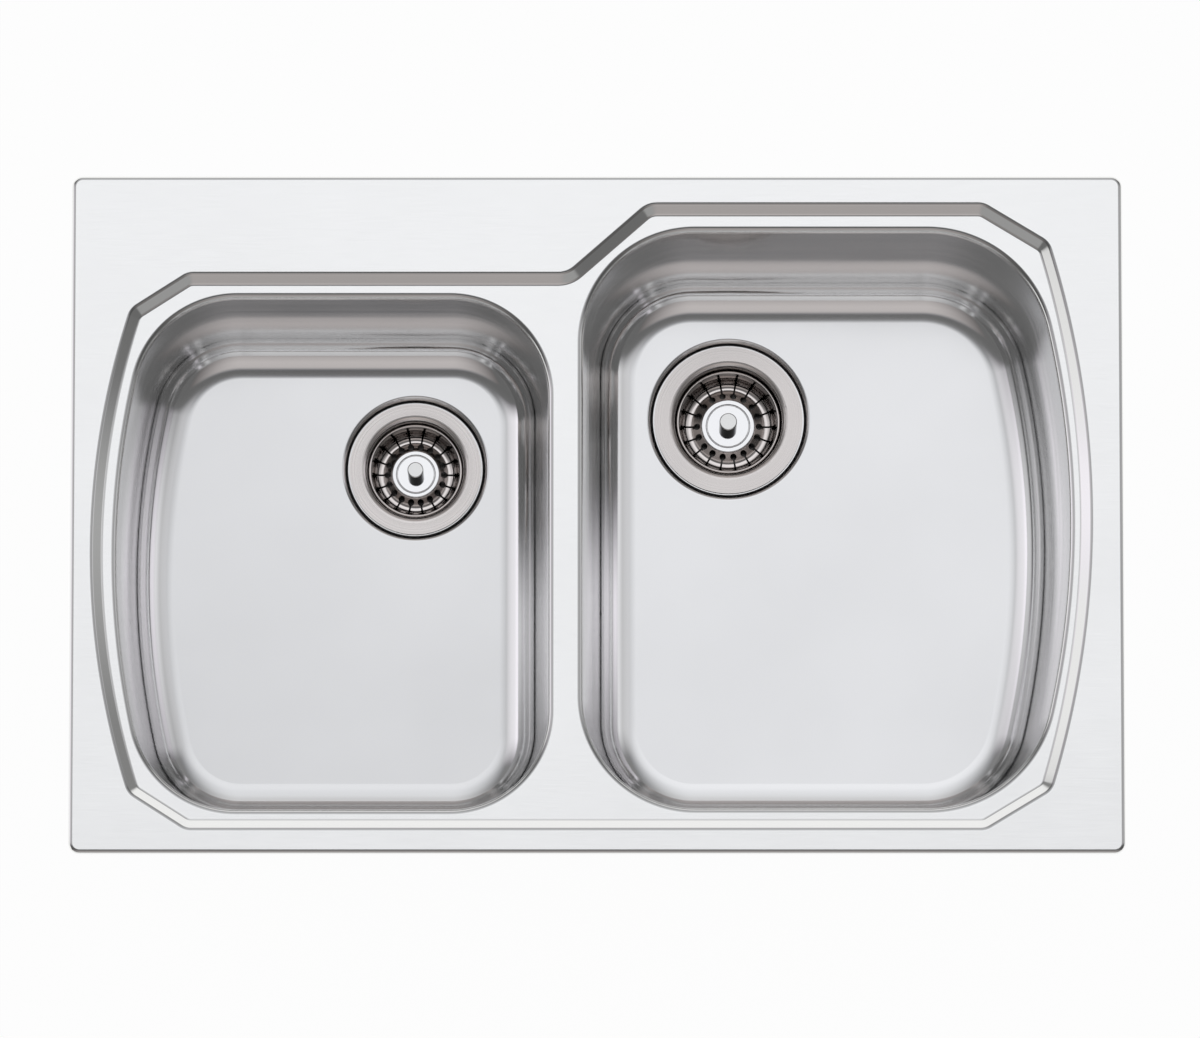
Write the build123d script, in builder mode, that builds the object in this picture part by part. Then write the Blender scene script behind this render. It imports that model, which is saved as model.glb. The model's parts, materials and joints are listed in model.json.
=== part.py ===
from build123d import *
import os
from dataclasses import dataclass
from math import atan2, cos, degrees, radians, tan

# Inset double-bowl kitchen sink with two basket-strainer wastes, in millimetres.
# +X is right, +Y is back, +Z is up. The origin is the middle of the deck's outline, on the worktop.

# Deck: one pressed sheet with a turned-down edge
deck_length = 770.0
deck_width = 500.0
deck_height = 5.0
deck_sheet = 1.0
deck_corner_radius = 8.0
edge_radius = 3.0
edge_clearance = 0.4

# Step pressed round both bowls, down to the ledge, with margins from the deck's outline to its brow
step_depth = 6.0
step_run = 7.4
step_brow_radius = 4.0
step_foot_radius = 3.0
step_corner_radius = 14.0
step_front_margin = 18.1
step_right_margin = 23.7
step_right_back_margin = 20.7
step_right_bulge = 30.4
step_right_chamfer_run = 47.6
step_right_chamfer_rise = 28.8
step_left_margin = 15.7
step_left_back_margin = 72.3
step_left_bulge = 28.1
step_left_chamfer_run = 41.5
step_left_chamfer_rise = 26.6
step_diagonal_start = 37.3
step_diagonal_run = 58.9
step_diagonal_radius = 18.0

# Bowls: drawn sheets butt-welded under the rolled rims of the ledge, with margins from the step's brow
rim_radius = 4.2
rim_straight = 2.0
bowl_sheet = 1.0
bowl_taper = 5.0
bowl_floor_radius = 26.0
divider_x = -23.0
divider_width = 25.6
right_bowl_outer_margin = 15.7
right_bowl_front_margin = 16.2
right_bowl_back_margin = 19.9
right_bowl_bulge = 36.0
right_bowl_inner_corner_radius = 82.0
right_bowl_outer_corner_radius = 90.0
right_bowl_depth = 185.0
left_bowl_outer_margin = 18.3
left_bowl_front_margin = 15.2
left_bowl_back_margin = 17.7
left_bowl_bulge = 30.2
left_bowl_inner_corner_radius = 72.0
left_bowl_outer_corner_radius = 75.0
left_bowl_depth = 155.0

# Wastes: margins from each bowl's inner side and back to the waste's axis, radii and heights
right_waste_inner_margin = 108.3
right_waste_back_margin = 112.1
right_flange_radius = 55.3
right_pot_mouth_radius = 40.5
right_pot_base_radius = 38.0
right_pot_depth = 45.5
right_basket_rim_depth = 10.5
right_basket_rim_radius = 38.8
right_basket_base_radius = 34.0
right_basket_trough_radius = 27.0
right_slot_inner_radius = 20.8
right_cap_radius = 20.2
right_cap_groove_radius = 16.0
right_knob_radius = 6.5
right_knob_height = 22.5
left_waste_inner_margin = 99.4
left_waste_back_margin = 104.1
left_flange_radius = 49.0
left_pot_mouth_radius = 36.2
left_pot_base_radius = 34.0
left_pot_depth = 41.5
left_basket_rim_depth = 9.0
left_basket_rim_radius = 35.0
left_basket_base_radius = 30.3
left_basket_trough_radius = 23.4
left_slot_inner_radius = 18.7
left_cap_radius = 17.9
left_cap_groove_radius = 14.1
left_knob_radius = 5.9
left_knob_height = 22.5

# Recess in each bowl's floor, strainer pot and its seals, the same in both wastes
flange_drop = 3.4
recess_clearance = 1.3
recess_taper = 30.0
recess_brow_radius = 2.2
pot_sheet = 0.8
pot_roll_radius = 4.5
pot_base_corner = 14.0
drain_hole_radius = 2.4
drain_hole_count = 8
drain_hole_margin = 0.6
flange_seal_thickness = 1.4
body_seal_thickness = 2.0
seal_inset = 1.0

# Moulded waste body, its thread insert and the hollow clamp screw
body_clearance = 2.7
body_wall = 2.5
body_flange_width = 11.5
body_flange_thickness = 3.5
body_rib_count = 8
body_rib_thickness = 2.5
body_rib_height = 22.0
body_floor_gap = 13.0
funnel_depth = 14.0
outlet_radius = 23.9
outlet_wall = 2.9
outlet_length = 25.0
boss_radius = 11.5
boss_gap = 1.2
boss_length = 18.0
spoke_count = 4
spoke_thickness = 3.0
spoke_height = 9.0
insert_radius = 9.0
insert_length = 16.0
clamp_screw_radius = 6.9
clamp_screw_bore = 4.5
clamp_screw_length = 20.0
clamp_head_radius = 9.0
clamp_head_height = 2.0
thread_clearance = 0.1
press_clearance = 0.05

# Lift-out basket, the same in both wastes
basket_sheet = 0.7
basket_bead_radius = 1.1
basket_floor_gap = 9.0
basket_base_corner = 5.5
basket_trough_bend = 5.0
hub_rise = 4.0
hub_bend = 2.0
slot_count = 18
slot_width = 1.4
slot_height = 12.0
slot_hole_radius = 2.4
cap_sheet = 0.8
cap_height = 5.8
cap_edge_radius = 1.0
cap_groove_round = 0.8
cap_groove_depth = 0.45
knob_edge_radius = 0.8
stem_radius = 3.9
stem_engagement = 8.0
stem_reach = 17.0
stem_tip_chamfer = 0.8
stopper_plate = 2.0
stopper_lip_width = 2.5
stopper_lip_height = 2.5
stopper_sleeve_radius = 8.0
stopper_slot_margin = 1.5
stopper_gap = 0.2
ring_reach = 9.0
ring_section_radius = 0.75
ring_groove_width = 1.8
ring_clearance = 0.15

# Rim seal and damping pads
seal_edge_gap = 0.3
seal_width = 5.0
pad_thickness = 3.0
pad_corner_radius = 12.0
right_pad_inner_margin = 160.2
right_pad_front_margin = 130.7
right_pad_length = 190.0
right_pad_width = 110.0
left_pad_inner_margin = 154.2
left_pad_front_margin = 116.7
left_pad_length = 150.0
left_pad_width = 90.0

# Clamp clips under the deck's edge, in a local frame whose x points outward
cutout_margin = 9.0
rail_cutout_gap = 1.0
rail_length = 70.0
rail_sheet = 1.2
rail_flange_width = 6.0
rail_drop = 16.0
rail_slot_top = 8.0
rail_slot_height = 4.0
rail_slot_length = 18.0
bracket_sheet = 1.5
bracket_top = 5.0
bracket_bottom = 27.0
bracket_reach = 14.8
bracket_width = 20.0
bracket_bend_radius = 3.0
tongue_side_gap = 1.0
tongue_rise = 0.6
hook_sheet = 0.8
hook_gap = 0.05
hook_lap = 2.5
clip_screw_inset = 9.5
clip_screw_radius = 2.4
clip_screw_top = 16.0
clip_head_radius = 4.6
clip_head_height = 3.2
clip_slot_width = 1.2
clip_slot_depth = 1.6
collar_radius = 4.0
collar_height = 1.0
claw_sheet = 1.5
claw_bottom = 52.0
claw_reach = 27.0
claw_width = 13.0
claw_rise = 10.0
claw_bend_radius = 3.0
claw_end_margin = 6.5
claw_tooth_depth = 1.6
claw_play = 0.2
front_clip_margin = 185.0
side_clip_margin = 80.0


@dataclass
class Bowl:
    """Plan outline and floor height of one bowl; inner is the side next to the other bowl."""

    name: str
    inner: float
    outer: float
    bulge: float
    front: float
    back: float
    inner_corner: float
    outer_corner: float
    floor: float


@dataclass
class Waste:
    """Plan place, flange height, radii and heights of one waste; heights count from the flange's top."""

    name: str
    x: float
    y: float
    seat: float
    flange: float
    mouth: float
    base: float
    pot_depth: float
    rim_depth: float
    basket_rim: float
    basket_base: float
    trough: float
    slot_inner: float
    cap: float
    cap_groove: float
    knob: float
    knob_height: float

    def axis(self):
        """The upright line through the middle of the waste."""
        return Axis((self.x, self.y, self.seat), (0, 0, 1))

    def section(self):
        """The upright half plane that the turned profiles are drawn on: x is the radius."""
        return Plane(origin=(self.x, self.y, self.seat), x_dir=(1, 0, 0), z_dir=(0, -1, 0))

    def level(self, height):
        """The level plane at a height above the flange's top."""
        return Plane(origin=(self.x, self.y, self.seat + height))

    def basket_floor(self):
        """Height of the upper face of the basket's floor in its trough, the lowest part."""
        return basket_floor_gap + basket_sheet - self.pot_depth

    def hub_top(self):
        """Height of the upper face of the basket's raised middle, which carries the cap."""
        return self.basket_floor() + hub_rise

    def cap_top(self):
        """Height of the cap's upper face."""
        return self.basket_floor() + cap_height

    def boss_top(self):
        """Height of the top of the waste body's boss, just under the pot."""
        return -self.pot_depth - pot_sheet - boss_gap

    def bowl_hole(self):
        """Radius of the hole in the bowl, clear of the pot's rolled throat."""
        return self.mouth + pot_roll_radius

    def bore(self):
        """Inner radius of the waste body, clear of the pot that hangs in it."""
        return self.mouth + pot_sheet + body_clearance

    def stopper(self):
        """Outer radius of the stopper, inside the basket's slots."""
        return self.slot_inner - stopper_slot_margin


# Places that follow from the deck's outline and the margins
step_front = step_front_margin - deck_width / 2
step_right = deck_length / 2 - step_right_margin
step_right_back = deck_width / 2 - step_right_back_margin
step_left = step_left_margin - deck_length / 2
step_left_back = deck_width / 2 - step_left_back_margin
right_bowl_sizes = Bowl(
    "right",
    divider_x + divider_width / 2,
    step_right - right_bowl_outer_margin,
    right_bowl_bulge,
    step_front + right_bowl_front_margin,
    step_right_back - right_bowl_back_margin,
    right_bowl_inner_corner_radius,
    right_bowl_outer_corner_radius,
    deck_height - right_bowl_depth,
)
left_bowl_sizes = Bowl(
    "left",
    divider_x - divider_width / 2,
    step_left + left_bowl_outer_margin,
    -left_bowl_bulge,
    step_front + left_bowl_front_margin,
    step_left_back - left_bowl_back_margin,
    left_bowl_inner_corner_radius,
    left_bowl_outer_corner_radius,
    deck_height - left_bowl_depth,
)
right_waste_sizes = Waste(
    "right",
    right_bowl_sizes.inner + right_waste_inner_margin,
    right_bowl_sizes.back - right_waste_back_margin,
    right_bowl_sizes.floor - flange_drop,
    right_flange_radius,
    right_pot_mouth_radius,
    right_pot_base_radius,
    right_pot_depth,
    right_basket_rim_depth,
    right_basket_rim_radius,
    right_basket_base_radius,
    right_basket_trough_radius,
    right_slot_inner_radius,
    right_cap_radius,
    right_cap_groove_radius,
    right_knob_radius,
    right_knob_height,
)
left_waste_sizes = Waste(
    "left",
    left_bowl_sizes.inner - left_waste_inner_margin,
    left_bowl_sizes.back - left_waste_back_margin,
    left_bowl_sizes.floor - flange_drop,
    left_flange_radius,
    left_pot_mouth_radius,
    left_pot_base_radius,
    left_pot_depth,
    left_basket_rim_depth,
    left_basket_rim_radius,
    left_basket_base_radius,
    left_basket_trough_radius,
    left_slot_inner_radius,
    left_cap_radius,
    left_cap_groove_radius,
    left_knob_radius,
    left_knob_height,
)

# Heights that follow from the driving sizes; those of the wastes count from the flange's top
ledge_height = deck_height - step_depth
rim_end = ledge_height - rim_radius - rim_straight
recess_depth = flange_drop + pot_sheet + flange_seal_thickness
body_seal_top = -pot_sheet - flange_seal_thickness - bowl_sheet
body_top = body_seal_top - body_seal_thickness


def save(builder, name):
    """Labels a finished piece and writes it as a STEP file of the same name."""
    builder.part.label = name
    export_step(builder.part, f"parts/{name}.step")


def step_outline(growth):
    """Plan outline of the step's brow, grown outward by an even margin."""
    right_end = step_right - step_right_bulge
    left_end = step_left + step_left_bulge
    with BuildSketch() as outline:
        with BuildLine():
            Polyline(
                (left_end, step_front + step_left_chamfer_rise),
                (left_end + step_left_chamfer_run, step_front),
                (right_end - step_right_chamfer_run, step_front),
                (right_end, step_front + step_right_chamfer_rise),
            )
            SagittaArc(
                (right_end, step_front + step_right_chamfer_rise),
                (right_end, step_right_back - step_right_chamfer_rise),
                -step_right_bulge,
            )
            Polyline(
                (right_end, step_right_back - step_right_chamfer_rise),
                (right_end - step_right_chamfer_run, step_right_back),
                (step_diagonal_start, step_right_back),
                (step_diagonal_start - step_diagonal_run, step_left_back),
                (left_end + step_left_chamfer_run, step_left_back),
                (left_end, step_left_back - step_left_chamfer_rise),
            )
            SagittaArc(
                (left_end, step_left_back - step_left_chamfer_rise),
                (left_end, step_front + step_left_chamfer_rise),
                -step_left_bulge,
            )
        make_face()
        middle = step_diagonal_start - step_diagonal_run / 2
        corners = outline.vertices().sort_by(lambda corner: abs(corner.X - middle) - corner.Y)
        fillet(corners[:2], step_diagonal_radius)
        sharp = [
            corner
            for corner in outline.vertices()
            if abs(corner.X - middle) > step_diagonal_run
        ]
        fillet(sharp, step_corner_radius)
        if growth:
            offset(amount=growth)
    return outline.sketch


def bowl_outline(bowl, growth):
    """Plan outline of a bowl's opening, grown outward by an even margin."""
    outer_end = bowl.outer - bowl.bulge
    outward = 1 if bowl.outer > bowl.inner else -1
    with BuildSketch() as outline:
        with BuildLine():
            Polyline(
                (outer_end, bowl.front),
                (bowl.inner, bowl.front),
                (bowl.inner, bowl.back),
                (outer_end, bowl.back),
            )
            SagittaArc((outer_end, bowl.back), (outer_end, bowl.front), bowl.bulge)
        make_face()
        corners = outline.vertices().sort_by(Axis((0, 0, 0), (outward, 0, 0)))
        fillet(corners[:2], bowl.inner_corner)
        corners = outline.vertices().sort_by(Axis((0, 0, 0), (outward, 0, 0)))
        fillet(corners[-2:], bowl.outer_corner)
        if growth:
            offset(amount=growth)
    return outline.sketch


def pressed_deck(inset):
    """Solid under one face of the deck's sheet: the top face at inset 0, the underside at one sheet."""
    slope = atan2(step_depth, step_run)
    brow_growth = inset * (1 / cos(slope) - 1) / tan(slope)
    top = deck_height - inset
    ledge = ledge_height - inset
    base = rim_end - inset
    with BuildPart() as form:
        with BuildSketch(Plane.XY.offset(base)):
            RectangleRounded(
                deck_length - 2 * inset, deck_width - 2 * inset, deck_corner_radius - inset
            )
        extrude(amount=top - base)
        fillet(form.faces().sort_by(Axis.Z)[-1].edges(), edge_radius - inset)
        with BuildSketch(Plane.XY.offset(top)):
            add(step_outline(brow_growth))
        extrude(amount=-step_depth, taper=90 - degrees(slope), mode=Mode.SUBTRACT)
        brow = form.faces().filter_by(Plane.XY).sort_by(Axis.Z)[-1]
        fillet(brow.inner_wires()[0].edges(), step_brow_radius - inset)
        floor = form.faces().filter_by(Plane.XY).sort_by(Axis.Z)[1]
        fillet(floor.edges(), step_foot_radius + inset)
        with BuildSketch(Plane.XY.offset(ledge)):
            add(bowl_outline(right_bowl_sizes, inset))
            add(bowl_outline(left_bowl_sizes, inset))
        extrude(amount=base - ledge, mode=Mode.SUBTRACT)
        floor = form.faces().filter_by(Plane.XY).sort_by(Axis.Z)[1]
        rims = [edge for wire in floor.inner_wires() for edge in wire.edges()]
        fillet(rims, rim_radius - inset)
    return form.part


def drawn_bowl(bowl, waste, growth):
    """Solid inside one face of a bowl's sheet: the cavity at growth 0, the outside at one sheet."""
    recess_run = recess_depth * tan(radians(recess_taper))
    with BuildPart() as form:
        with BuildSketch(Plane.XY.offset(rim_end)):
            add(bowl_outline(bowl, growth))
        extrude(amount=bowl.floor - growth - rim_end, taper=bowl_taper)
        fillet(form.faces().sort_by(Axis.Z)[0].edges(), bowl_floor_radius + growth)
        with BuildSketch(waste.level(flange_drop - growth)):
            Circle(waste.flange + recess_clearance + recess_run + growth)
        extrude(amount=-recess_depth, taper=recess_taper)
        floor = form.faces().filter_by(Plane.XY).sort_by(Axis.Z)[1]
        fillet(floor.inner_wires()[0].edges(), recess_brow_radius - growth)
    return form.part


def make_bowl(bowl, waste):
    """One drawn bowl with the recess and hole for its waste."""
    outside = drawn_bowl(bowl, waste, bowl_sheet)
    cavity = drawn_bowl(bowl, waste, 0.0)
    with BuildPart() as sheet:
        add(outside)
        add(cavity, mode=Mode.SUBTRACT)
        with BuildSketch(waste.level(0)):
            Circle(waste.bowl_hole())
        extrude(amount=body_seal_top, mode=Mode.SUBTRACT)
    save(sheet, f"{bowl.name}_bowl")


def make_pot(waste):
    """Strainer pot: flange, rolled throat, tapered wall and a base with drain holes."""
    with BuildPart() as pot:
        with BuildSketch(waste.section()):
            with BuildLine():
                FilletPolyline(
                    (waste.flange, 0),
                    (waste.mouth, 0),
                    (waste.base, -waste.pot_depth),
                    (clamp_screw_radius + thread_clearance, -waste.pot_depth),
                    radius=(pot_roll_radius, pot_base_corner),
                )
                offset(amount=pot_sheet, side=Side.LEFT)
            make_face()
        revolve(axis=waste.axis())
        with BuildSketch(waste.level(-waste.pot_depth)):
            with PolarLocations(clamp_head_radius + drain_hole_margin + drain_hole_radius, drain_hole_count):
                Circle(drain_hole_radius)
        extrude(amount=-pot_sheet, mode=Mode.SUBTRACT)
    save(pot, f"{waste.name}_strainer_pot")


def make_seals(waste):
    """The flat rings above and below the bowl's sheet."""
    with BuildPart() as flange_seal:
        with BuildSketch(waste.level(-pot_sheet)):
            Circle(waste.flange - seal_inset)
            Circle(waste.bowl_hole(), mode=Mode.SUBTRACT)
        extrude(amount=-flange_seal_thickness)
    save(flange_seal, f"{waste.name}_flange_seal")
    with BuildPart() as body_seal:
        with BuildSketch(waste.level(body_seal_top)):
            Circle(waste.bore() + body_flange_width - seal_inset)
            Circle(waste.bowl_hole(), mode=Mode.SUBTRACT)
        extrude(amount=-body_seal_thickness)
    save(body_seal, f"{waste.name}_body_seal")


def make_body(waste):
    """Moulded waste body: ribbed flange, bore, funnel, outlet and a spoked boss for the insert."""
    bore = waste.bore()
    rim = bore + body_flange_width
    outlet_bore = outlet_radius - outlet_wall
    under_flange = body_top - body_flange_thickness
    bore_end = -waste.pot_depth - body_floor_gap
    outlet_start = bore_end - funnel_depth
    outlet_end = outlet_start - outlet_length
    with BuildPart() as body:
        with BuildSketch(waste.section()):
            with BuildLine():
                Polyline(
                    (bore, body_top),
                    (rim, body_top),
                    (rim, under_flange),
                    (bore + body_wall, under_flange),
                    (bore + body_wall, bore_end),
                    (outlet_radius, outlet_start),
                    (outlet_radius, outlet_end),
                    (outlet_bore, outlet_end),
                    (outlet_bore, outlet_start),
                    (bore, bore_end),
                    close=True,
                )
            make_face()
        revolve(axis=waste.axis())
        with BuildSketch(waste.section()):
            with BuildLine():
                Polyline(
                    (bore + body_wall / 2, under_flange),
                    (rim - seal_inset, under_flange),
                    (bore + body_wall / 2, under_flange - body_rib_height),
                    close=True,
                )
            make_face()
        rib_form = extrude(amount=body_rib_thickness / 2, both=True, mode=Mode.PRIVATE)
        for turn in range(body_rib_count):
            add(rib_form.rotate(waste.axis(), (turn + 0.5) * 360 / body_rib_count))
        with BuildSketch(waste.level(waste.boss_top())):
            Circle(boss_radius)
        extrude(amount=-boss_length)
        with BuildSketch(waste.level(waste.boss_top())):
            with PolarLocations((bore + body_wall / 2) / 2, spoke_count):
                Rectangle(bore + body_wall / 2, spoke_thickness)
        extrude(amount=-spoke_height)
        with BuildSketch(waste.level(waste.boss_top())):
            Circle(insert_radius + press_clearance)
        extrude(amount=-boss_length, mode=Mode.SUBTRACT)
    save(body, f"{waste.name}_waste_body")


def make_clamp(waste):
    """The brass thread insert in the boss and the hollow screw that clamps pot and body together."""
    with BuildPart() as insert:
        with BuildSketch(waste.level(waste.boss_top())):
            Circle(insert_radius)
            Circle(clamp_screw_radius + thread_clearance, mode=Mode.SUBTRACT)
        extrude(amount=-insert_length)
    save(insert, f"{waste.name}_thread_insert")
    with BuildPart() as screw:
        with BuildSketch(waste.level(-waste.pot_depth)):
            Circle(clamp_head_radius)
        extrude(amount=clamp_head_height)
        with BuildSketch(waste.level(-waste.pot_depth)):
            Circle(clamp_screw_radius)
        extrude(amount=-clamp_screw_length)
        with BuildSketch(waste.level(clamp_head_height - waste.pot_depth)):
            Circle(clamp_screw_bore)
        extrude(amount=-clamp_head_height - clamp_screw_length, mode=Mode.SUBTRACT)
    save(screw, f"{waste.name}_clamp_screw")


def make_basket(waste):
    """Basket with a beaded rim, a floor that rises to its hub and keyhole slots through floor and wall."""
    bead = waste.basket_rim - basket_bead_radius
    bead_height = -waste.rim_depth - basket_bead_radius
    underside = waste.basket_floor() - basket_sheet
    hole_centre = waste.slot_inner + slot_hole_radius
    first_slot = 180 / slot_count + 90
    with BuildPart() as basket:
        with BuildSketch(waste.section()):
            with BuildLine():
                FilletPolyline(
                    (bead, bead_height),
                    (waste.basket_base, waste.basket_floor()),
                    (waste.trough, waste.basket_floor()),
                    (waste.cap, waste.hub_top()),
                    (stem_radius + press_clearance, waste.hub_top()),
                    radius=(basket_base_corner, basket_trough_bend, hub_bend),
                )
                offset(amount=basket_sheet, side=Side.LEFT)
            make_face()
            with Locations((bead, bead_height)):
                Circle(basket_bead_radius)
        revolve(axis=waste.axis())
        with BuildSketch(waste.level(underside)):
            with PolarLocations(hole_centre, slot_count, start_angle=first_slot):
                Circle(slot_hole_radius)
        extrude(amount=hub_rise + basket_sheet, mode=Mode.SUBTRACT)
        with BuildSketch(waste.level(underside)):
            with PolarLocations(hole_centre, slot_count, start_angle=first_slot):
                Rectangle(waste.basket_rim - hole_centre, slot_width, align=(Align.MIN, Align.CENTER))
        extrude(amount=slot_height, mode=Mode.SUBTRACT)
    save(basket, f"{waste.name}_basket")


def make_basket_fittings(waste):
    """Polished cap, knob, stem, stopper seal and stem ring of one basket."""
    with BuildPart() as cap:
        with BuildSketch(waste.section()):
            with BuildLine():
                FilletPolyline(
                    (waste.cap, waste.hub_top()),
                    (waste.cap, waste.cap_top()),
                    (stem_radius + press_clearance, waste.cap_top()),
                    radius=cap_edge_radius,
                )
                offset(amount=cap_sheet, side=Side.LEFT)
            make_face()
            with Locations((waste.cap_groove, waste.cap_top() + cap_groove_round - cap_groove_depth)):
                Circle(cap_groove_round, mode=Mode.SUBTRACT)
        revolve(axis=waste.axis())
    save(cap, f"{waste.name}_basket_cap")
    with BuildPart() as knob:
        with BuildSketch(waste.level(waste.cap_top())):
            Circle(waste.knob)
        extrude(amount=waste.knob_height)
        fillet(knob.faces().sort_by(Axis.Z)[-1].edges(), knob_edge_radius)
        with BuildSketch(waste.level(waste.cap_top())):
            Circle(stem_radius + press_clearance)
        extrude(amount=stem_engagement, mode=Mode.SUBTRACT)
    save(knob, f"{waste.name}_knob")
    ring_outer = clamp_screw_bore - ring_clearance
    groove_radius = ring_outer - 2 * ring_section_radius
    ring_height = -waste.pot_depth - ring_reach
    with BuildPart() as stem:
        with BuildSketch(waste.level(-waste.pot_depth - stem_reach)):
            Circle(stem_radius)
        extrude(amount=waste.cap_top() + stem_engagement + waste.pot_depth + stem_reach)
        chamfer(stem.faces().sort_by(Axis.Z)[0].edges(), stem_tip_chamfer)
        with BuildSketch(waste.level(ring_height - ring_groove_width / 2)):
            Circle(stem_radius + ring_section_radius)
            Circle(groove_radius - press_clearance, mode=Mode.SUBTRACT)
        extrude(amount=ring_groove_width, mode=Mode.SUBTRACT)
    save(stem, f"{waste.name}_stem")
    with BuildPart() as ring:
        with BuildSketch(waste.section()):
            with Locations((ring_outer - ring_section_radius, ring_height)):
                Circle(ring_section_radius)
        revolve(axis=waste.axis())
    save(ring, f"{waste.name}_stem_ring")
    sleeve_top = waste.hub_top() - basket_sheet
    lip_bottom = stopper_gap - waste.pot_depth
    plate_bottom = lip_bottom + stopper_lip_height
    with BuildPart() as stopper:
        with BuildSketch(waste.level(lip_bottom)):
            Circle(waste.stopper())
            Circle(waste.stopper() - stopper_lip_width, mode=Mode.SUBTRACT)
        extrude(amount=stopper_lip_height)
        with BuildSketch(waste.level(plate_bottom)):
            Circle(waste.stopper())
        extrude(amount=stopper_plate)
        with BuildSketch(waste.level(plate_bottom)):
            Circle(stopper_sleeve_radius)
        extrude(amount=sleeve_top - plate_bottom)
        with BuildSketch(waste.level(plate_bottom)):
            Circle(stem_radius + press_clearance)
        extrude(amount=sleeve_top - plate_bottom, mode=Mode.SUBTRACT)
    save(stopper, f"{waste.name}_stopper_seal")


def make_pad(bowl, inner_margin, front_margin, length, width):
    """Damping pad glued under a bowl's floor, placed from the bowl's inner side and front."""
    centre = (bowl.inner + inner_margin, bowl.front + front_margin, bowl.floor - bowl_sheet)
    with BuildPart() as pad:
        with BuildSketch(Plane(centre)):
            RectangleRounded(length, width, pad_corner_radius)
        extrude(amount=-pad_thickness)
    save(pad, f"{bowl.name}_sound_pad")


os.makedirs("parts", exist_ok=True)

# Deck: the solid under its top face less the solid under its underside
deck_top_form = pressed_deck(0.0)
deck_under_form = pressed_deck(deck_sheet)
with BuildPart() as deck:
    add(deck_top_form)
    add(deck_under_form, mode=Mode.SUBTRACT)
    with BuildSketch(Plane.XY.offset(rim_end - deck_sheet)):
        Rectangle(deck_length, deck_width)
        RectangleRounded(
            deck_length - 4 * deck_sheet,
            deck_width - 4 * deck_sheet,
            deck_corner_radius - 2 * deck_sheet,
            mode=Mode.SUBTRACT,
        )
    extrude(amount=edge_clearance - rim_end + deck_sheet, mode=Mode.SUBTRACT)
save(deck, "deck")

# Bowls, damping pads and wastes
make_bowl(right_bowl_sizes, right_waste_sizes)
make_bowl(left_bowl_sizes, left_waste_sizes)
make_pad(right_bowl_sizes, right_pad_inner_margin, right_pad_front_margin, right_pad_length, right_pad_width)
make_pad(left_bowl_sizes, -left_pad_inner_margin, left_pad_front_margin, left_pad_length, left_pad_width)
for waste_sizes in (right_waste_sizes, left_waste_sizes):
    make_pot(waste_sizes)
    make_seals(waste_sizes)
    make_body(waste_sizes)
    make_clamp(waste_sizes)
    make_basket(waste_sizes)
    make_basket_fittings(waste_sizes)

# Seal strip between the deck's edge and the worktop
seal_inset_outer = edge_radius + seal_edge_gap
seal_inset_inner = seal_inset_outer + seal_width
with BuildPart() as rim_seal:
    with BuildSketch():
        RectangleRounded(
            deck_length - 2 * seal_inset_outer,
            deck_width - 2 * seal_inset_outer,
            deck_corner_radius - seal_inset_outer,
        )
        Rectangle(
            deck_length - 2 * seal_inset_inner, deck_width - 2 * seal_inset_inner, mode=Mode.SUBTRACT
        )
    extrude(amount=deck_height - deck_sheet)
save(rim_seal, "rim_seal")

# Places of the clips: x points outward and the face of the rail lies at x = 0
clip_half_length = deck_length / 2 - cutout_margin - rail_cutout_gap
clip_half_width = deck_width / 2 - cutout_margin - rail_cutout_gap
clip_places = []
for side in (-1, 1):
    for along in (front_clip_margin - deck_length / 2, deck_length / 2 - front_clip_margin):
        clip_places.append(Plane((along, side * clip_half_width, 0), x_dir=(0, side, 0)))
for side in (-1, 1):
    for along in (side_clip_margin - deck_width / 2, deck_width / 2 - side_clip_margin):
        clip_places.append(Plane((side * clip_half_length, along, 0), x_dir=(side, 0, 0)))

# Rail: short angle strip welded under the deck, with a slot for the bracket
rail_top = deck_height - deck_sheet
with BuildPart() as rail_form:
    with BuildSketch(Plane.XZ):
        with BuildLine():
            Polyline((0, -rail_drop), (0, rail_top), (-rail_flange_width, rail_top))
            offset(amount=rail_sheet, side=Side.LEFT, kind=Kind.INTERSECTION)
        make_face()
    extrude(amount=rail_length / 2, both=True)
    with BuildSketch(Plane.YZ):
        with Locations((0, -rail_slot_top - rail_slot_height / 2)):
            Rectangle(rail_slot_length, rail_slot_height)
    extrude(amount=-rail_sheet, mode=Mode.SUBTRACT)
with BuildPart() as clip_rails:
    with Locations(*clip_places):
        add(rail_form.part)
save(clip_rails, "clip_rails")

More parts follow.
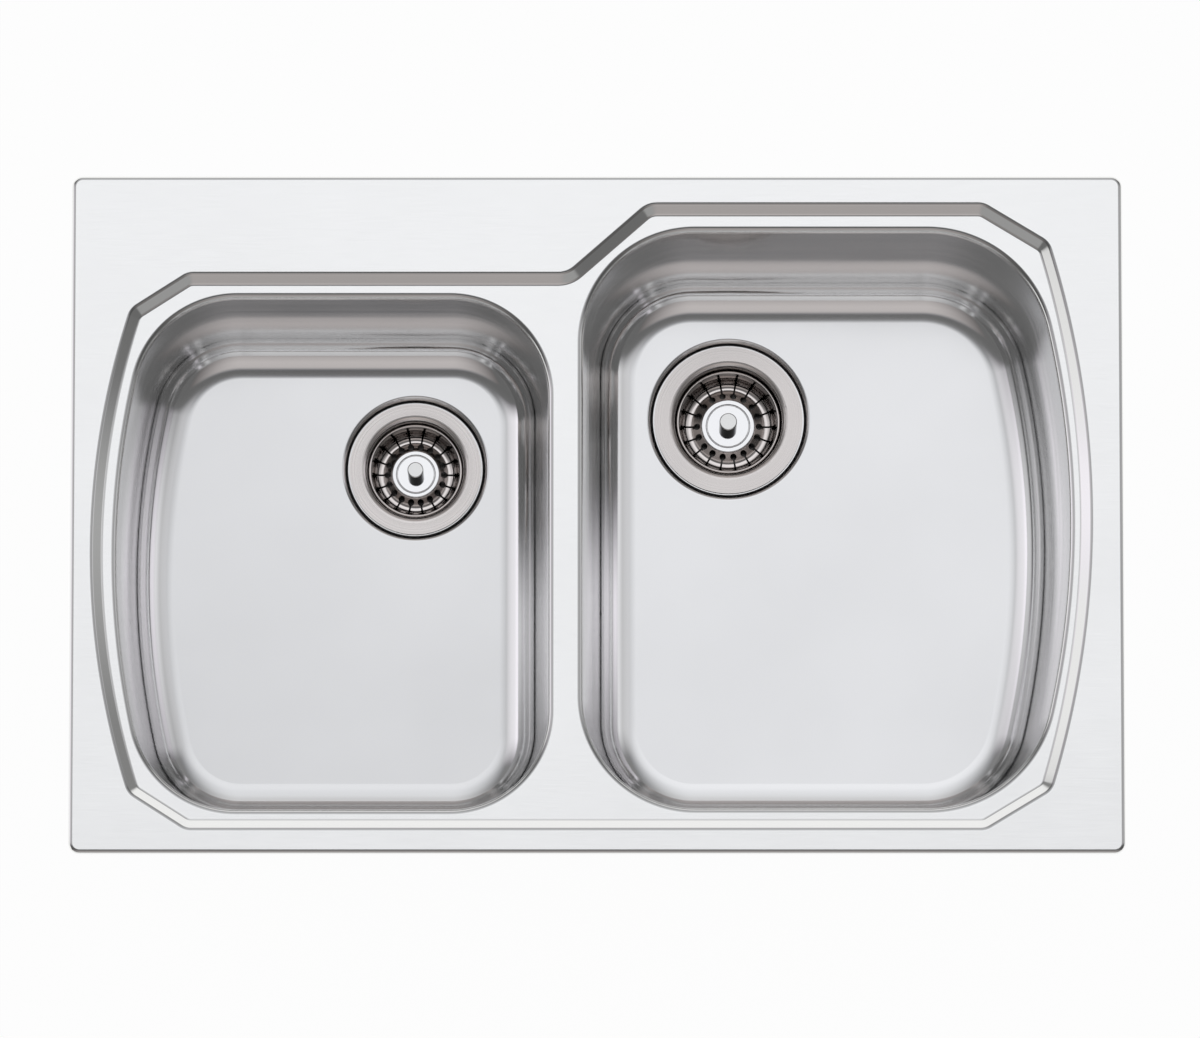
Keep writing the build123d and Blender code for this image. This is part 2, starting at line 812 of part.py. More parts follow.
# Bracket: bent plate whose tongue hooks through the rail's slot, with a tapped tab for the screw
tongue_bottom = tongue_rise - rail_slot_top - rail_slot_height
with BuildPart() as bracket_form:
    with BuildSketch(Plane.XZ):
        with BuildLine():
            FilletPolyline(
                (-rail_sheet, -bracket_top),
                (-rail_sheet, -bracket_bottom),
                (-rail_sheet - bracket_reach, -bracket_bottom),
                radius=bracket_bend_radius,
            )
            offset(amount=bracket_sheet, side=Side.RIGHT)
        make_face()
    extrude(amount=bracket_width / 2, both=True)
    with BuildSketch(Plane.XZ):
        with BuildLine():
            Polyline(
                (-rail_sheet, tongue_bottom),
                (hook_gap + hook_sheet, tongue_bottom),
                (hook_gap + hook_sheet, hook_lap - rail_slot_top),
                (hook_gap, hook_lap - rail_slot_top),
                (hook_gap, tongue_bottom + bracket_sheet),
                (-rail_sheet, tongue_bottom + bracket_sheet),
                close=True,
            )
        make_face()
    extrude(amount=rail_slot_length / 2 - tongue_side_gap, both=True)
    with BuildSketch(Plane.XY.offset(-bracket_bottom)):
        with Locations((-clip_screw_inset, 0)):
            Circle(clip_screw_radius + thread_clearance)
    extrude(amount=bracket_sheet, mode=Mode.SUBTRACT)
with BuildPart() as clip_brackets:
    with Locations(*clip_places):
        add(bracket_form.part)
save(clip_brackets, "clip_brackets")

# Clamp screw: slotted head below, shank up through the bracket's tab, collar that keeps the claw
head_top = -claw_bottom - claw_play
collar_bottom = claw_sheet + claw_play - claw_bottom
with BuildPart() as clip_screw_form:
    with BuildSketch(Plane.XY.offset(head_top)):
        with Locations((-clip_screw_inset, 0)):
            Circle(clip_head_radius)
    extrude(amount=-clip_head_height)
    with BuildSketch(Plane.XY.offset(head_top)):
        with Locations((-clip_screw_inset, 0)):
            Circle(clip_screw_radius)
    extrude(amount=-clip_screw_top - head_top)
    with BuildSketch(Plane.XY.offset(collar_bottom)):
        with Locations((-clip_screw_inset, 0)):
            Circle(collar_radius)
    extrude(amount=collar_height)
    with BuildSketch(Plane.XY.offset(head_top - clip_head_height)):
        with Locations((-clip_screw_inset, 0)):
            Rectangle(clip_slot_width, 2 * clip_head_radius)
    extrude(amount=clip_slot_depth, mode=Mode.SUBTRACT)

# Claw: bent arm that turns on the screw, tucked along the rail, with a toothed end that bites the worktop
with BuildPart() as claw_form:
    with BuildSketch(Plane.YZ.offset(-clip_screw_inset)):
        with BuildLine():
            FilletPolyline(
                (claw_end_margin, -claw_bottom),
                (-claw_reach, -claw_bottom),
                (-claw_reach, claw_rise - claw_bottom),
                radius=claw_bend_radius,
            )
            offset(amount=claw_sheet, side=Side.RIGHT)
        make_face()
    extrude(amount=claw_width / 2, both=True)
    with BuildSketch(Plane.XZ.offset(claw_reach)):
        with Locations(
            (-clip_screw_inset - claw_width / 4, claw_rise - claw_bottom),
            (-clip_screw_inset + claw_width / 4, claw_rise - claw_bottom),
        ):
            Rectangle(2 * claw_tooth_depth, 2 * claw_tooth_depth, rotation=45)
    extrude(amount=-claw_sheet, mode=Mode.SUBTRACT)
    end_corners = claw_form.edges().filter_by(Axis.Z).group_by(Axis.Y)[-1]
    fillet(end_corners, claw_width / 2 - claw_sheet)
    with BuildSketch(Plane.XY.offset(-claw_bottom)):
        with Locations((-clip_screw_inset, 0)):
            Circle(clip_screw_radius + thread_clearance)
    extrude(amount=claw_sheet, mode=Mode.SUBTRACT)

for number, place in enumerate(clip_places, start=1):
    with BuildPart() as clip_screw:
        with Locations(place):
            add(clip_screw_form.part)
    save(clip_screw, f"clip_screw_{number}")
    with BuildPart() as claw:
        with Locations(place):
            add(claw_form.part)
    save(claw, f"claw_{number}")
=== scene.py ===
"""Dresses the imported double-bowl sink: dense sheet meshes, procedural finishes, painted sky and camera."""

import json
import logging
from dataclasses import dataclass
from enum import Enum
from math import acos, asin, atan2, ceil, cos, pi, radians, sin, tan

import bmesh
import bpy
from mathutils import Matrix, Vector


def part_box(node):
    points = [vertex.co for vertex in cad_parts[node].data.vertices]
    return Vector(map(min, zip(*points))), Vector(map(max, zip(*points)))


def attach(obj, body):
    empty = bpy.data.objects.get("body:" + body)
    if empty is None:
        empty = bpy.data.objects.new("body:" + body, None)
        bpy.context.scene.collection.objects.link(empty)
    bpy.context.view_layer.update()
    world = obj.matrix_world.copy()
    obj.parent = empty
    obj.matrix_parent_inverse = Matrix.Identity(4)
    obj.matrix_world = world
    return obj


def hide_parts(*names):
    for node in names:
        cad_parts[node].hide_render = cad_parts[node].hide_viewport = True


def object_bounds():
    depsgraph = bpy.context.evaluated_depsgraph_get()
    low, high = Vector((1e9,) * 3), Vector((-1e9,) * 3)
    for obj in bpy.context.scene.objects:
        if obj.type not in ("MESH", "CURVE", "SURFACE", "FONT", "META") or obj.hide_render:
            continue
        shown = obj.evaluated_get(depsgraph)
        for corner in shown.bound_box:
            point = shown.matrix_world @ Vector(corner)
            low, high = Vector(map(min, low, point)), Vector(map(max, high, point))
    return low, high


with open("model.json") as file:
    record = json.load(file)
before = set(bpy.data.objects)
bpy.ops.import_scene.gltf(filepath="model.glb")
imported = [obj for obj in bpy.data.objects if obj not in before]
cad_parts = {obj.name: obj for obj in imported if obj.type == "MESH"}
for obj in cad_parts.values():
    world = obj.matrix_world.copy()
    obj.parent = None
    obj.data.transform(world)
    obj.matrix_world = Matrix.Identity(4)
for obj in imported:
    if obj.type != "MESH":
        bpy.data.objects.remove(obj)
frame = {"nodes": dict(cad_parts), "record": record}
cad_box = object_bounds()

MM = 0.001
ARC_PITCH = 3.5 * MM
BOW_PITCH = 2 * ARC_PITCH
SIDE_PITCH = 14.0 * MM
ARC_STEPS_MIN = 6
BOW_STEPS_MIN = 2
FILLET_STEPS = 10
SUPPORT = 0.3 * MM
SHARP_ANGLE = radians(34.0)
TURNED_SEGMENTS = 160
CLIP_COUNT = 8
FLOOR_GAP = 0.5 * MM
NOISE_ENDS = (0.3, 0.7)
RIGHT_ANGLE = 90.0
MIX_FIRST, MIX_SECOND, MIX_RESULT = 6, 7, 2
WHITE = (1.0, 1.0, 1.0, 1.0)
LOG = logging.getLogger("sink")

Pair = tuple[float, float]
Colour = tuple[float, float, float]
PathPoint = tuple[float, float, float]
PlanPoint = tuple[float, float, float, float]
RampStop = tuple[float, Colour]
LowGlow = tuple[str, Pair, Pair, float]
Ring = list[bmesh.types.BMVert]
Socket = bpy.types.NodeSocket
Sockets = bpy.types.bpy_prop_collection
Source = Socket | float | tuple[float, ...]


class Grain(Enum):
    """Which way the fine lines of a metal finish run."""

    ALONG_LENGTH = "along X"
    LEVEL = "along the walls, level"
    TURNED = "round an upright axis"
    NONE = "no lines"


class Blend(Enum):
    """How two colours are put together, in Blender's words."""

    MIX = "MIX"
    MULTIPLY = "MULTIPLY"
    LIGHTEN = "LIGHTEN"


@dataclass(frozen=True)
class Corner:
    """A corner of a plan outline: its place, its rounding and the bow of the side that leaves it."""

    x: float
    y: float
    radius: float
    bow: float = 0.0


class Side:
    """A straight or outward-bowed side of an outline that runs with its inside on the left."""

    def __init__(self, start: Corner, end: Corner) -> None:
        """Works out the side's direction, outward normal and, if it is bowed, its circle.

        Args:
            start: Corner that the side leaves; it also gives the side's bow.
            end: Corner that the side reaches.
        """
        self.start = Vector((start.x, start.y))
        along = Vector((end.x, end.y)) - self.start
        self.direction = along.normalized()
        self.outward = Vector((self.direction.y, -self.direction.x))
        self.bowed = start.bow > 0
        if self.bowed:
            self.radius = (along.length_squared / 4 + start.bow**2) / (2 * start.bow)
            self.centre = self.start + along / 2 + self.outward * (start.bow - self.radius)

    def meet(self, other: "Side", inset: float) -> Vector:
        """Finds the point that lies one inset inside both sides, near the corner where they join.

        Args:
            other: Side that follows this one.
            inset: Distance from both sides; negative lies outside them.

        Returns:
            The centre of the rounding between the two sides.
        """
        if self.bowed:
            return other.cross_circle(self, inset, other.start)
        if other.bowed:
            return self.cross_circle(other, inset, other.start)
        base = self.start - self.outward * inset
        target = other.start - other.outward * inset
        gap = target - base
        share = gap.cross(other.direction) / self.direction.cross(other.direction)
        return base + self.direction * share

    def cross_circle(self, bowed: "Side", inset: float, near: Vector) -> Vector:
        """Crosses this straight side, moved in by the inset, with a bowed side moved in alike.

        Args:
            bowed: The bowed side.
            inset: Distance that both are moved in.
            near: Point that picks one of the two crossings.

        Returns:
            The crossing nearest to that point.
        """
        base = self.start - self.outward * inset
        offset = base - bowed.centre
        reach = bowed.radius - inset
        half = offset.dot(self.direction)
        root = (half**2 - offset.length_squared + reach**2) ** 0.5
        found = [base + self.direction * (sign * root - half) for sign in (-1, 1)]
        return min(found, key=lambda point: (point - near).length)

    def touch(self, centre: Vector) -> Vector:
        """Gives the point of the side that a rounding with this centre touches.

        Args:
            centre: Centre of the rounding.

        Returns:
            The tangent point on the side.
        """
        if self.bowed:
            return self.centre + (centre - self.centre).normalized() * self.radius
        return self.start + self.direction * (centre - self.start).dot(self.direction)

    def between(self, first: Vector, last: Vector) -> list[PlanPoint]:
        """Samples the side strictly between two of its points.

        Args:
            first: Point that the samples follow.
            last: Point that they stop before.

        Returns:
            Plan points with outward normals.
        """
        if not self.bowed:
            count = max(1, ceil((last - first).length / SIDE_PITCH))
            spots = [first.lerp(last, step / count) for step in range(1, count)]
            return [(spot.x, spot.y, self.outward.x, self.outward.y) for spot in spots]
        begin = atan2(first.y - self.centre.y, first.x - self.centre.x)
        sweep = (atan2(last.y - self.centre.y, last.x - self.centre.x) - begin) % (2 * pi)
        count = max(BOW_STEPS_MIN, ceil(sweep * self.radius / BOW_PITCH))
        angles = [begin + sweep * step / count for step in range(1, count)]
        return [
            (self.centre.x + self.radius * cos(a), self.centre.y + self.radius * sin(a), cos(a), sin(a))
            for a in angles
        ]


class Outline:
    """A closed plan outline, counter-clockwise, sampled once so that all its rings match."""

    def __init__(self, corners: list[Corner]) -> None:
        """Rounds the corners and samples the sides.

        Args:
            corners: Corners in counter-clockwise order.
        """
        count = len(corners)
        sides = [Side(corners[i], corners[(i + 1) % count]) for i in range(count)]
        self.points: list[PlanPoint] = []
        roundings = []
        for i, corner in enumerate(corners):
            before, after = sides[i - 1], sides[i]
            turn = before.direction.cross(after.direction)
            centre = before.meet(after, corner.radius if turn > 0 else -corner.radius)
            roundings.append((centre, before.touch(centre), after.touch(centre), corner.radius, turn))
        for i, (centre, first, last, radius, turn) in enumerate(roundings):
            self.points += self.rounding(centre, first, last, radius, turn)
            self.points += sides[i].between(last, roundings[(i + 1) % count][1])

    @staticmethod
    def rounding(centre: Vector, first: Vector, last: Vector, radius: float, turn: float) -> list[PlanPoint]:
        """Samples the arc that rounds one corner, both ends included.

        Args:
            centre: Centre of the arc.
            first: Where the arc starts.
            last: Where it ends.
            radius: Its radius.
            turn: Positive at an outer corner, negative at an inner one.

        Returns:
            Plan points with outward normals.
        """
        sense = 1.0 if turn > 0 else -1.0
        begin = atan2(first.y - centre.y, first.x - centre.x)
        end = atan2(last.y - centre.y, last.x - centre.x)
        sweep = (sense * (end - begin)) % (2 * pi)
        count = max(ARC_STEPS_MIN, ceil(sweep * radius / ARC_PITCH))
        angles = [begin + sense * sweep * step / count for step in range(count + 1)]
        return [
            (centre.x + radius * cos(a), centre.y + radius * sin(a), sense * cos(a), sense * sin(a))
            for a in angles
        ]

    def ring(self, growth: float, height: float) -> list[Vector]:
        """Gives the outline grown outward, at a height.

        Args:
            growth: Distance outward; negative is inward.
            height: Height of the ring.

        Returns:
            Points of the ring.
        """
        return [Vector((x + nx * growth, y + ny * growth, height)) for x, y, nx, ny in self.points]


class RoundOutline(Outline):
    """A circle about an upright axis, whose rings are given by their radius."""

    def __init__(self, x: float, y: float, segments: int = TURNED_SEGMENTS) -> None:
        """Samples the circle's directions.

        Args:
            x: Axis of the circle.
            y: Axis of the circle.
            segments: How many points each ring has.
        """
        angles = [2 * pi * step / segments for step in range(segments)]
        self.points = [(x, y, cos(a), sin(a)) for a in angles]


def offset_path(path: list[PathPoint], distance: float) -> list[PathPoint]:
    """Moves a section path to its left, with each rounding changed to match.

    Args:
        path: Points of the section: across, height and rounding radius.
        distance: How far the path moves.

    Returns:
        The moved path.
    """
    spots = [Vector(point[:2]) for point in path]
    runs = [(spots[i + 1] - spots[i]).normalized() for i in range(len(spots) - 1)]
    lefts = [Vector((-run.y, run.x)) for run in runs]
    moved = [(*(spots[0] + lefts[0] * distance), 0.0)]
    for i in range(1, len(spots) - 1):
        turn = runs[i - 1].cross(runs[i])
        bend = (lefts[i - 1] + lefts[i]).normalized()
        spot = spots[i] + bend * (distance / bend.dot(lefts[i]))
        radius = path[i][2] and path[i][2] + (distance if turn < 0 else -distance)
        moved.append((*spot, radius))
    moved.append((*(spots[-1] + lefts[-1] * distance), 0.0))
    return moved


def rounded_path(path: list[PathPoint], closed: bool = False) -> list[Pair]:
    """Rounds a section path's corners and samples them, with a support point beside each rounding.

    Args:
        path: Points of the section: across, height and rounding radius.
        closed: Whether the last point joins the first.

    Returns:
        Points of the section: across and height.
    """
    spots = [Vector(point[:2]) for point in path]
    count = len(spots)
    found: list[Pair] = []
    for i, (spot, (_, _, radius)) in enumerate(zip(spots, path)):
        inner = closed or 0 < i < count - 1
        if not inner or not radius:
            found.append(tuple(spot))
            continue
        into = (spot - spots[i - 1]).normalized()
        out = (spots[(i + 1) % count] - spot).normalized()
        turn = into.cross(out)
        sweep = acos(max(-1.0, min(1.0, into.dot(out))))
        reach = radius * tan(sweep / 2)
        side = Vector((-into.y, into.x)) * (1 if turn > 0 else -1)
        centre = spot - into * reach + side * radius
        found.append(tuple(spot - into * (reach + SUPPORT)))
        for step in range(FILLET_STEPS + 1):
            angle = sweep * step / FILLET_STEPS
            found.append(tuple(centre - side * (radius * cos(angle)) + into * (radius * sin(angle))))
        found.append(tuple(spot + out * (reach + SUPPORT)))
    return found


class PieceMesh:
    """Collects the rings, strips and fills of one piece and turns them into a mesh object."""

    def __init__(self, name: str) -> None:
        """Starts an empty mesh for a named piece."""
        self.name = name
        self.bm = bmesh.new()

    def ring(self, points: list[Vector]) -> Ring:
        """Adds the vertices of one ring."""
        return [self.bm.verts.new(point) for point in points]

    def bridge(self, first: Ring, second: Ring) -> None:
        """Joins two rings of equal count with four-sided faces.

        Args:
            first: One ring.
            second: The other ring.
        """
        count = len(first)
        for i in range(count):
            j = (i + 1) % count
            self.bm.faces.new((first[i], first[j], second[j], second[i]))

    def loft(self, rings: list[Ring], closed: bool = False) -> None:
        """Joins each ring with the next.

        Args:
            rings: Rings of equal count.
            closed: Whether the last ring joins the first.
        """
        for first, second in zip(rings, rings[1:] + (rings[:1] if closed else [])):
            self.bridge(first, second)

    def strip(self, outline: Outline, section: list[Pair]) -> list[Ring]:
        """Lofts a section along an outline.

        Args:
            outline: Outline that every ring follows.
            section: Growth and height of each ring.

        Returns:
            The rings, in the section's order.
        """
        rings = [self.ring(outline.ring(growth, height)) for growth, height in section]
        self.loft(rings)
        return rings

    def face(self, outline: Outline, path: list[PathPoint], distance: float) -> list[Ring]:
        """Lofts one face of a sheet, whose section lies at a distance to the left of a path."""
        return self.strip(outline, rounded_path(offset_path(path, distance)))

    def turned(self, outline: RoundOutline, section: list[Pair]) -> None:
        """Turns a closed section round an upright axis.

        Args:
            outline: Circle about the axis.
            section: Radius and height of each point of the section.
        """
        rings = self.strip(outline, section)
        self.bridge(rings[-1], rings[0])

    def fill(self, *rings: Ring) -> None:
        """Fills the level face between an outer ring and the rings inside it.

        Args:
            rings: The outer ring, then the inner ones.
        """
        pairs = [pair for ring in rings for pair in zip(ring, ring[1:] + ring[:1])]
        edges = [self.bm.edges.get(pair) for pair in pairs]
        bmesh.ops.triangle_fill(self.bm, use_beauty=True, edges=edges, normal=(0, 0, 1))

    def build(self) -> bpy.types.Object:
        """Makes the mesh object, smooth but for its sharp edges.

        Returns:
            The new object, in the row frame.
        """
        bmesh.ops.recalc_face_normals(self.bm, faces=self.bm.faces)
        for face in self.bm.faces:
            face.smooth = True
        mesh = bpy.data.meshes.new(self.name)
        self.bm.to_mesh(mesh)
        self.bm.free()
        mesh.set_sharp_from_angle(angle=SHARP_ANGLE)
        piece = bpy.data.objects.new(self.name, mesh)
        bpy.context.scene.collection.objects.link(piece)
        return piece


class NodeSketch:
    """The node tree of a material or a world, with short calls to add and join nodes."""

    def __init__(self, owner: bpy.types.Material | bpy.types.World) -> None:
        """Empties the owner's tree and gives it its output node.

        Args:
            owner: Material or world that the tree belongs to.
        """
        owner.use_nodes = True
        self.tree = owner.node_tree
        self.tree.nodes.clear()
        kind = "World" if isinstance(owner, bpy.types.World) else "Material"
        self.output = self.add(f"ShaderNodeOutput{kind}")

    def join(self, source: Source, target: Socket) -> None:
        """Joins a socket to another, or sets a constant on it.

        Args:
            source: Socket or constant.
            target: Socket that takes it.
        """
        if isinstance(source, Socket):
            self.tree.links.new(source, target)
        else:
            target.default_value = source

    def add(self, kind: str, *sources: Source, **settings: object) -> bpy.types.Node:
        """Adds a node.

        Args:
            kind: Blender's name for the node.
            sources: Sockets or constants for its inputs, from the first one on.
            settings: Its properties, and sockets or constants for its inputs by name.

        Returns:
            The new node.
        """
        node = self.tree.nodes.new(kind)
        for key, value in settings.items():
            if hasattr(node, key):
                setattr(node, key, value)
            else:
                self.join(value, node.inputs[key.replace("_", " ")])
        for source, target in zip(sources, node.inputs):
            self.join(source, target)
        return node

    def cover(self, shader: bpy.types.Node) -> None:
        """Joins a shader to the output."""
        self.join(shader.outputs[0], self.output.inputs["Surface"])

    def place(self) -> Socket:
        """Gives the coordinates in the row frame."""
        return self.add("ShaderNodeTexCoord").outputs["Object"]

    def normal(self) -> Socket:
        """Gives the direction that the surface faces."""
        return self.add("ShaderNodeNewGeometry").outputs["Normal"]

    def parts(self, vector: Socket) -> Sockets:
        """Splits a vector into X, Y and Z."""
        return self.add("ShaderNodeSeparateXYZ", vector).outputs

    def math(self, operation: str, *values: Source) -> Socket:
        """Works out one of Blender's operations on values."""
        return self.add("ShaderNodeMath", *values, operation=operation).outputs[0]

    def vector(self, operation: str, *values: Source) -> Sockets:
        """Works out one of Blender's operations on vectors, as a vector and a value."""
        return self.add("ShaderNodeVectorMath", *values, operation=operation).outputs

    def ranged(self, value: Socket, ends: Pair, levels: Pair = (0.0, 1.0), smooth: bool = False) -> Socket:
        """Passes from one level at the first end to another at the second, and keeps them beyond.

        Args:
            value: What the level depends on.
            ends: Where the passage starts and where it is complete.
            levels: Level at each end.
            smooth: Whether it eases in and out.

        Returns:
            The level.
        """
        way = "SMOOTHSTEP" if smooth else "LINEAR"
        return self.add("ShaderNodeMapRange", value, *ends, *levels, interpolation_type=way).outputs[0]

    def ramp(self, value: Socket, stops: list[RampStop]) -> Socket:
        """Follows straight lines between the colours of stops.

        Args:
            value: What the colour depends on, from 0 to 1.
            stops: Places and the colour at each.

        Returns:
            The colour.
        """
        node = self.add("ShaderNodeValToRGB", value)
        elements = node.color_ramp.elements
        while len(elements) < len(stops):
            elements.new(1.0)
        for element, (place, colour) in zip(elements, stops):
            element.position = place
            element.color = (*colour, 1.0)
        return node.outputs[0]

    def steps(self, value: Socket, stops: tuple[Pair, ...]) -> Socket:
        """Follows straight lines between the levels of stops."""
        return self.ramp(value, [(place, (level, level, level)) for place, level in stops])

    def blend(self, way: Blend, first: Source, second: Source, share: Source = 1.0) -> Socket:
        """Blends two colours.

        Args:
            way: How they are blended.
            first: One colour.
            second: The other colour.
            share: How far they are blended, from 0 to 1.

        Returns:
            The blended colour.
        """
        node = self.add("ShaderNodeMix", share, data_type="RGBA", blend_type=way.value)
        self.join(first, node.inputs[MIX_FIRST])
        self.join(second, node.inputs[MIX_SECOND])
        return node.outputs[MIX_RESULT]

    def noise(self, place: Socket, scale: float = 1.0, detail: float = 2.0, roughness: float = 0.5) -> Socket:
        """Adds a noise from 0 to 1, with a scale in waves to a metre."""
        node = self.add("ShaderNodeTexNoise", place, Scale=scale, Detail=detail, Roughness=roughness)
        return node.outputs["Fac"]

    def cloudy(self, clouds: Socket, colour: Colour, tint: float) -> Socket:
        """Makes a colour darker and lighter by a share of itself, as a noise goes."""
        ends = [(*(min(1.0, c * share) for c in colour), 1.0) for share in (1 - tint, 1 + tint)]
        return self.blend(Blend.MIX, *ends, clouds)

    def relief(self, height: Socket, strength: float, depth: float) -> Socket:
        """Turns a height from 0 to 1 into a bumpy normal."""
        node = self.add("ShaderNodeBump", Strength=strength, Distance=depth, Height=height)
        return node.outputs["Normal"]


@dataclass(frozen=True)
class MetalFinish:
    """A bare metal surface with fine lines and cloudy patches, and where asked, painted light and shade and a
    duller outside.
    """

    name: str
    slot: str
    colour: Colour
    roughness: float
    spread: float
    grain: Grain
    line_pitch: float
    line_depth: float
    tint: float = 0.03
    axis: Pair = (0.0, 0.0)
    level_haze: float = 0.0
    # Painted shade on level faces, as a share of their colour; a share below zero paints a highlight there
    # instead.
    level_painted_shade: float = 0.0
    level_start: float = 0.94
    # Painted shade deep down: between these heights the colour darkens to depth_shade of itself.
    depth_ends: Pair = (0.0, 0.0)
    depth_shade: float = 1.0
    mouth: tuple[float, float, float] | None = None
    back_shade: float = 0.62
    back_haze: float = 0.24
    back_blend: float = 0.004
    edge: float = 1.0
    ior: float = 2.5
    line_stretch: float = 60.0
    cloud_noise: tuple[float, float, float] = (9.0, 3.0, 0.55)

    def make(self) -> bpy.types.Material:
        """Builds the material.

        Returns:
            The material, ready to be given to a piece.
        """
        material = bpy.data.materials.new(self.name)
        sketch = NodeSketch(material)
        lines = self.lines(sketch)
        clouds = sketch.noise(sketch.place(), *self.cloud_noise)
        levels = (self.roughness - self.spread, self.roughness + self.spread)
        patches = sketch.ranged(clouds, NOISE_ENDS, (-self.spread / 2, self.spread / 2))
        rough = sketch.math("ADD", sketch.ranged(lines, NOISE_ENDS, levels), patches)
        shader = sketch.add(
            "ShaderNodeBsdfPrincipled",
            Metallic=1.0,
            IOR=self.ior,
            Specular_Tint=(self.edge, self.edge, self.edge, 1.0),
            Base_Color=self.toned(sketch, sketch.cloudy(clouds, self.colour, self.tint)),
            Roughness=self.hazed(sketch, rough),
            Normal=sketch.relief(lines, 1.0, self.line_depth),
        )
        sketch.cover(shader)
        return material

    def on_level(self, sketch: NodeSketch, levels: Pair) -> Socket:
        """Gives one level on sloping faces and another on level ones, which drawing doesn't stretch."""
        return sketch.ranged(sketch.parts(sketch.normal())["Z"], (self.level_start, 1.0), levels)

    def on_back(self, sketch: NodeSketch, levels: Pair) -> Socket:
        """Gives one level on the faces that look to the mouth and another on those behind them.

        Args:
            sketch: Tree of the material.
            levels: Level on the inside, and on the outside, which is left as it was drawn.

        Returns:
            The level.
        """
        away = sketch.vector("SUBTRACT", sketch.place(), self.mouth)["Vector"]
        facing = sketch.vector("DOT_PRODUCT", away, sketch.normal())["Value"]
        return sketch.ranged(facing, (-self.back_blend, self.back_blend), levels)

    def toned(self, sketch: NodeSketch, colour: Socket) -> Socket:
        """Paints light and shade into the colour where the finish says so: painted shade on level faces,
        which a share below zero turns into a painted highlight, painted shade deep in openings, and a darker
        outside.

        Args:
            sketch: Tree of the material.
            colour: Colour of the drawn walls.

        Returns:
            The toned colour.
        """
        shares = []
        # Painted shade on level faces; a share below zero paints a highlight there.
        if self.level_painted_shade:
            shares.append(self.on_level(sketch, (1.0, 1.0 - self.level_painted_shade)))
        # Painted shade that grows with depth.
        if self.depth_shade < 1.0:
            top, bottom = self.depth_ends
            height = sketch.parts(sketch.place())["Z"]
            shares.append(sketch.ranged(height, (bottom, top), (self.depth_shade, 1.0), smooth=True))
        if self.mouth:
            shares.append(self.on_back(sketch, (1.0, self.back_shade)))
        for share in shares:
            colour = sketch.blend(Blend.MULTIPLY, colour, share)
        return colour

    def hazed(self, sketch: NodeSketch, rough: Socket) -> Socket:
        """Roughens level faces, which keep the dull skin of the rolled sheet, and the outside.

        Args:
            sketch: Tree of the material.
            rough: Roughness of the drawn walls.

        Returns:
            The roughness with the haze added.
        """
        if self.level_haze:
            rough = sketch.math("ADD", rough, self.on_level(sketch, (0.0, self.level_haze)))
        if self.mouth:
            rough = sketch.math("ADD", rough, self.on_back(sketch, (0.0, self.back_haze)))
        return rough

    def lines(self, sketch: NodeSketch) -> Socket:
        """Adds the fine lines of the finish.

        Args:
            sketch: Tree of the material.

        Returns:
            Height of the lines, from 0 to 1.
        """
        fine = 1.0 / self.line_pitch
        if self.grain is Grain.TURNED:
            return sketch.noise(self.turned(sketch), fine)
        coarse = fine / self.line_stretch
        scales = {
            Grain.ALONG_LENGTH: (coarse, fine, fine),
            Grain.LEVEL: (coarse, coarse, fine),
            Grain.NONE: (fine, fine, fine),
        }
        stretched = sketch.add("ShaderNodeMapping", sketch.place(), Scale=scales[self.grain])
        return sketch.noise(stretched.outputs[0])

    def turned(self, sketch: NodeSketch) -> Socket:
        """Measures places round the finish's axis, so that lines run round it.

        Args:
            sketch: Tree of the material.

        Returns:
            A vector of the distance from the axis and the height.
        """
        centred = sketch.vector("SUBTRACT", sketch.place(), (*self.axis, 0.0))["Vector"]
        parts = sketch.parts(centred)
        flat = sketch.add("ShaderNodeCombineXYZ", parts["X"], parts["Y"]).outputs[0]
        radius = sketch.vector("LENGTH", flat)["Value"]
        return sketch.add("ShaderNodeCombineXYZ", radius, parts["Z"]).outputs[0]


@dataclass(frozen=True)
class PressedFinish(MetalFinish):
    """A pressed sheet with a painted shade line along its bends, weakest in the step's foot."""

    # Share of the colour that the painted shade line takes from the bends.
    bend_painted_shade: float = 0.44
    bend_stops: tuple[Pair, ...] = ((0.79, 0.0), (0.87, 1.0), (0.996, 1.0), (0.9996, 0.0))
    foot_ends: Pair = (-3.54 * MM, 4.02 * MM)
    foot_stops: tuple[Pair, ...] = ((0.32, 1.0), (0.34, 0.35), (0.62, 0.35), (0.70, 1.0))

    def toned(self, sketch: NodeSketch, colour: Socket) -> Socket:
        """Paints a shade line into the bends between level faces and slopes.

        Args:
            sketch: Tree of the material.
            colour: Colour of the sheet.

        Returns:
            The colour, with painted shade in the bends.
        """
        bends = sketch.steps(sketch.parts(sketch.normal())["Z"], self.bend_stops)
        raised = sketch.ranged(sketch.parts(sketch.place())["Z"], self.foot_ends)
        foot = sketch.steps(raised, self.foot_stops)
        amount = sketch.math("MULTIPLY", bends, foot)
        # Painted shade: the bends keep only part of their colour.
        left = sketch.ranged(amount, (0.0, 1.0), (1.0, 1.0 - self.bend_painted_shade))
        return sketch.blend(Blend.MULTIPLY, colour, left)


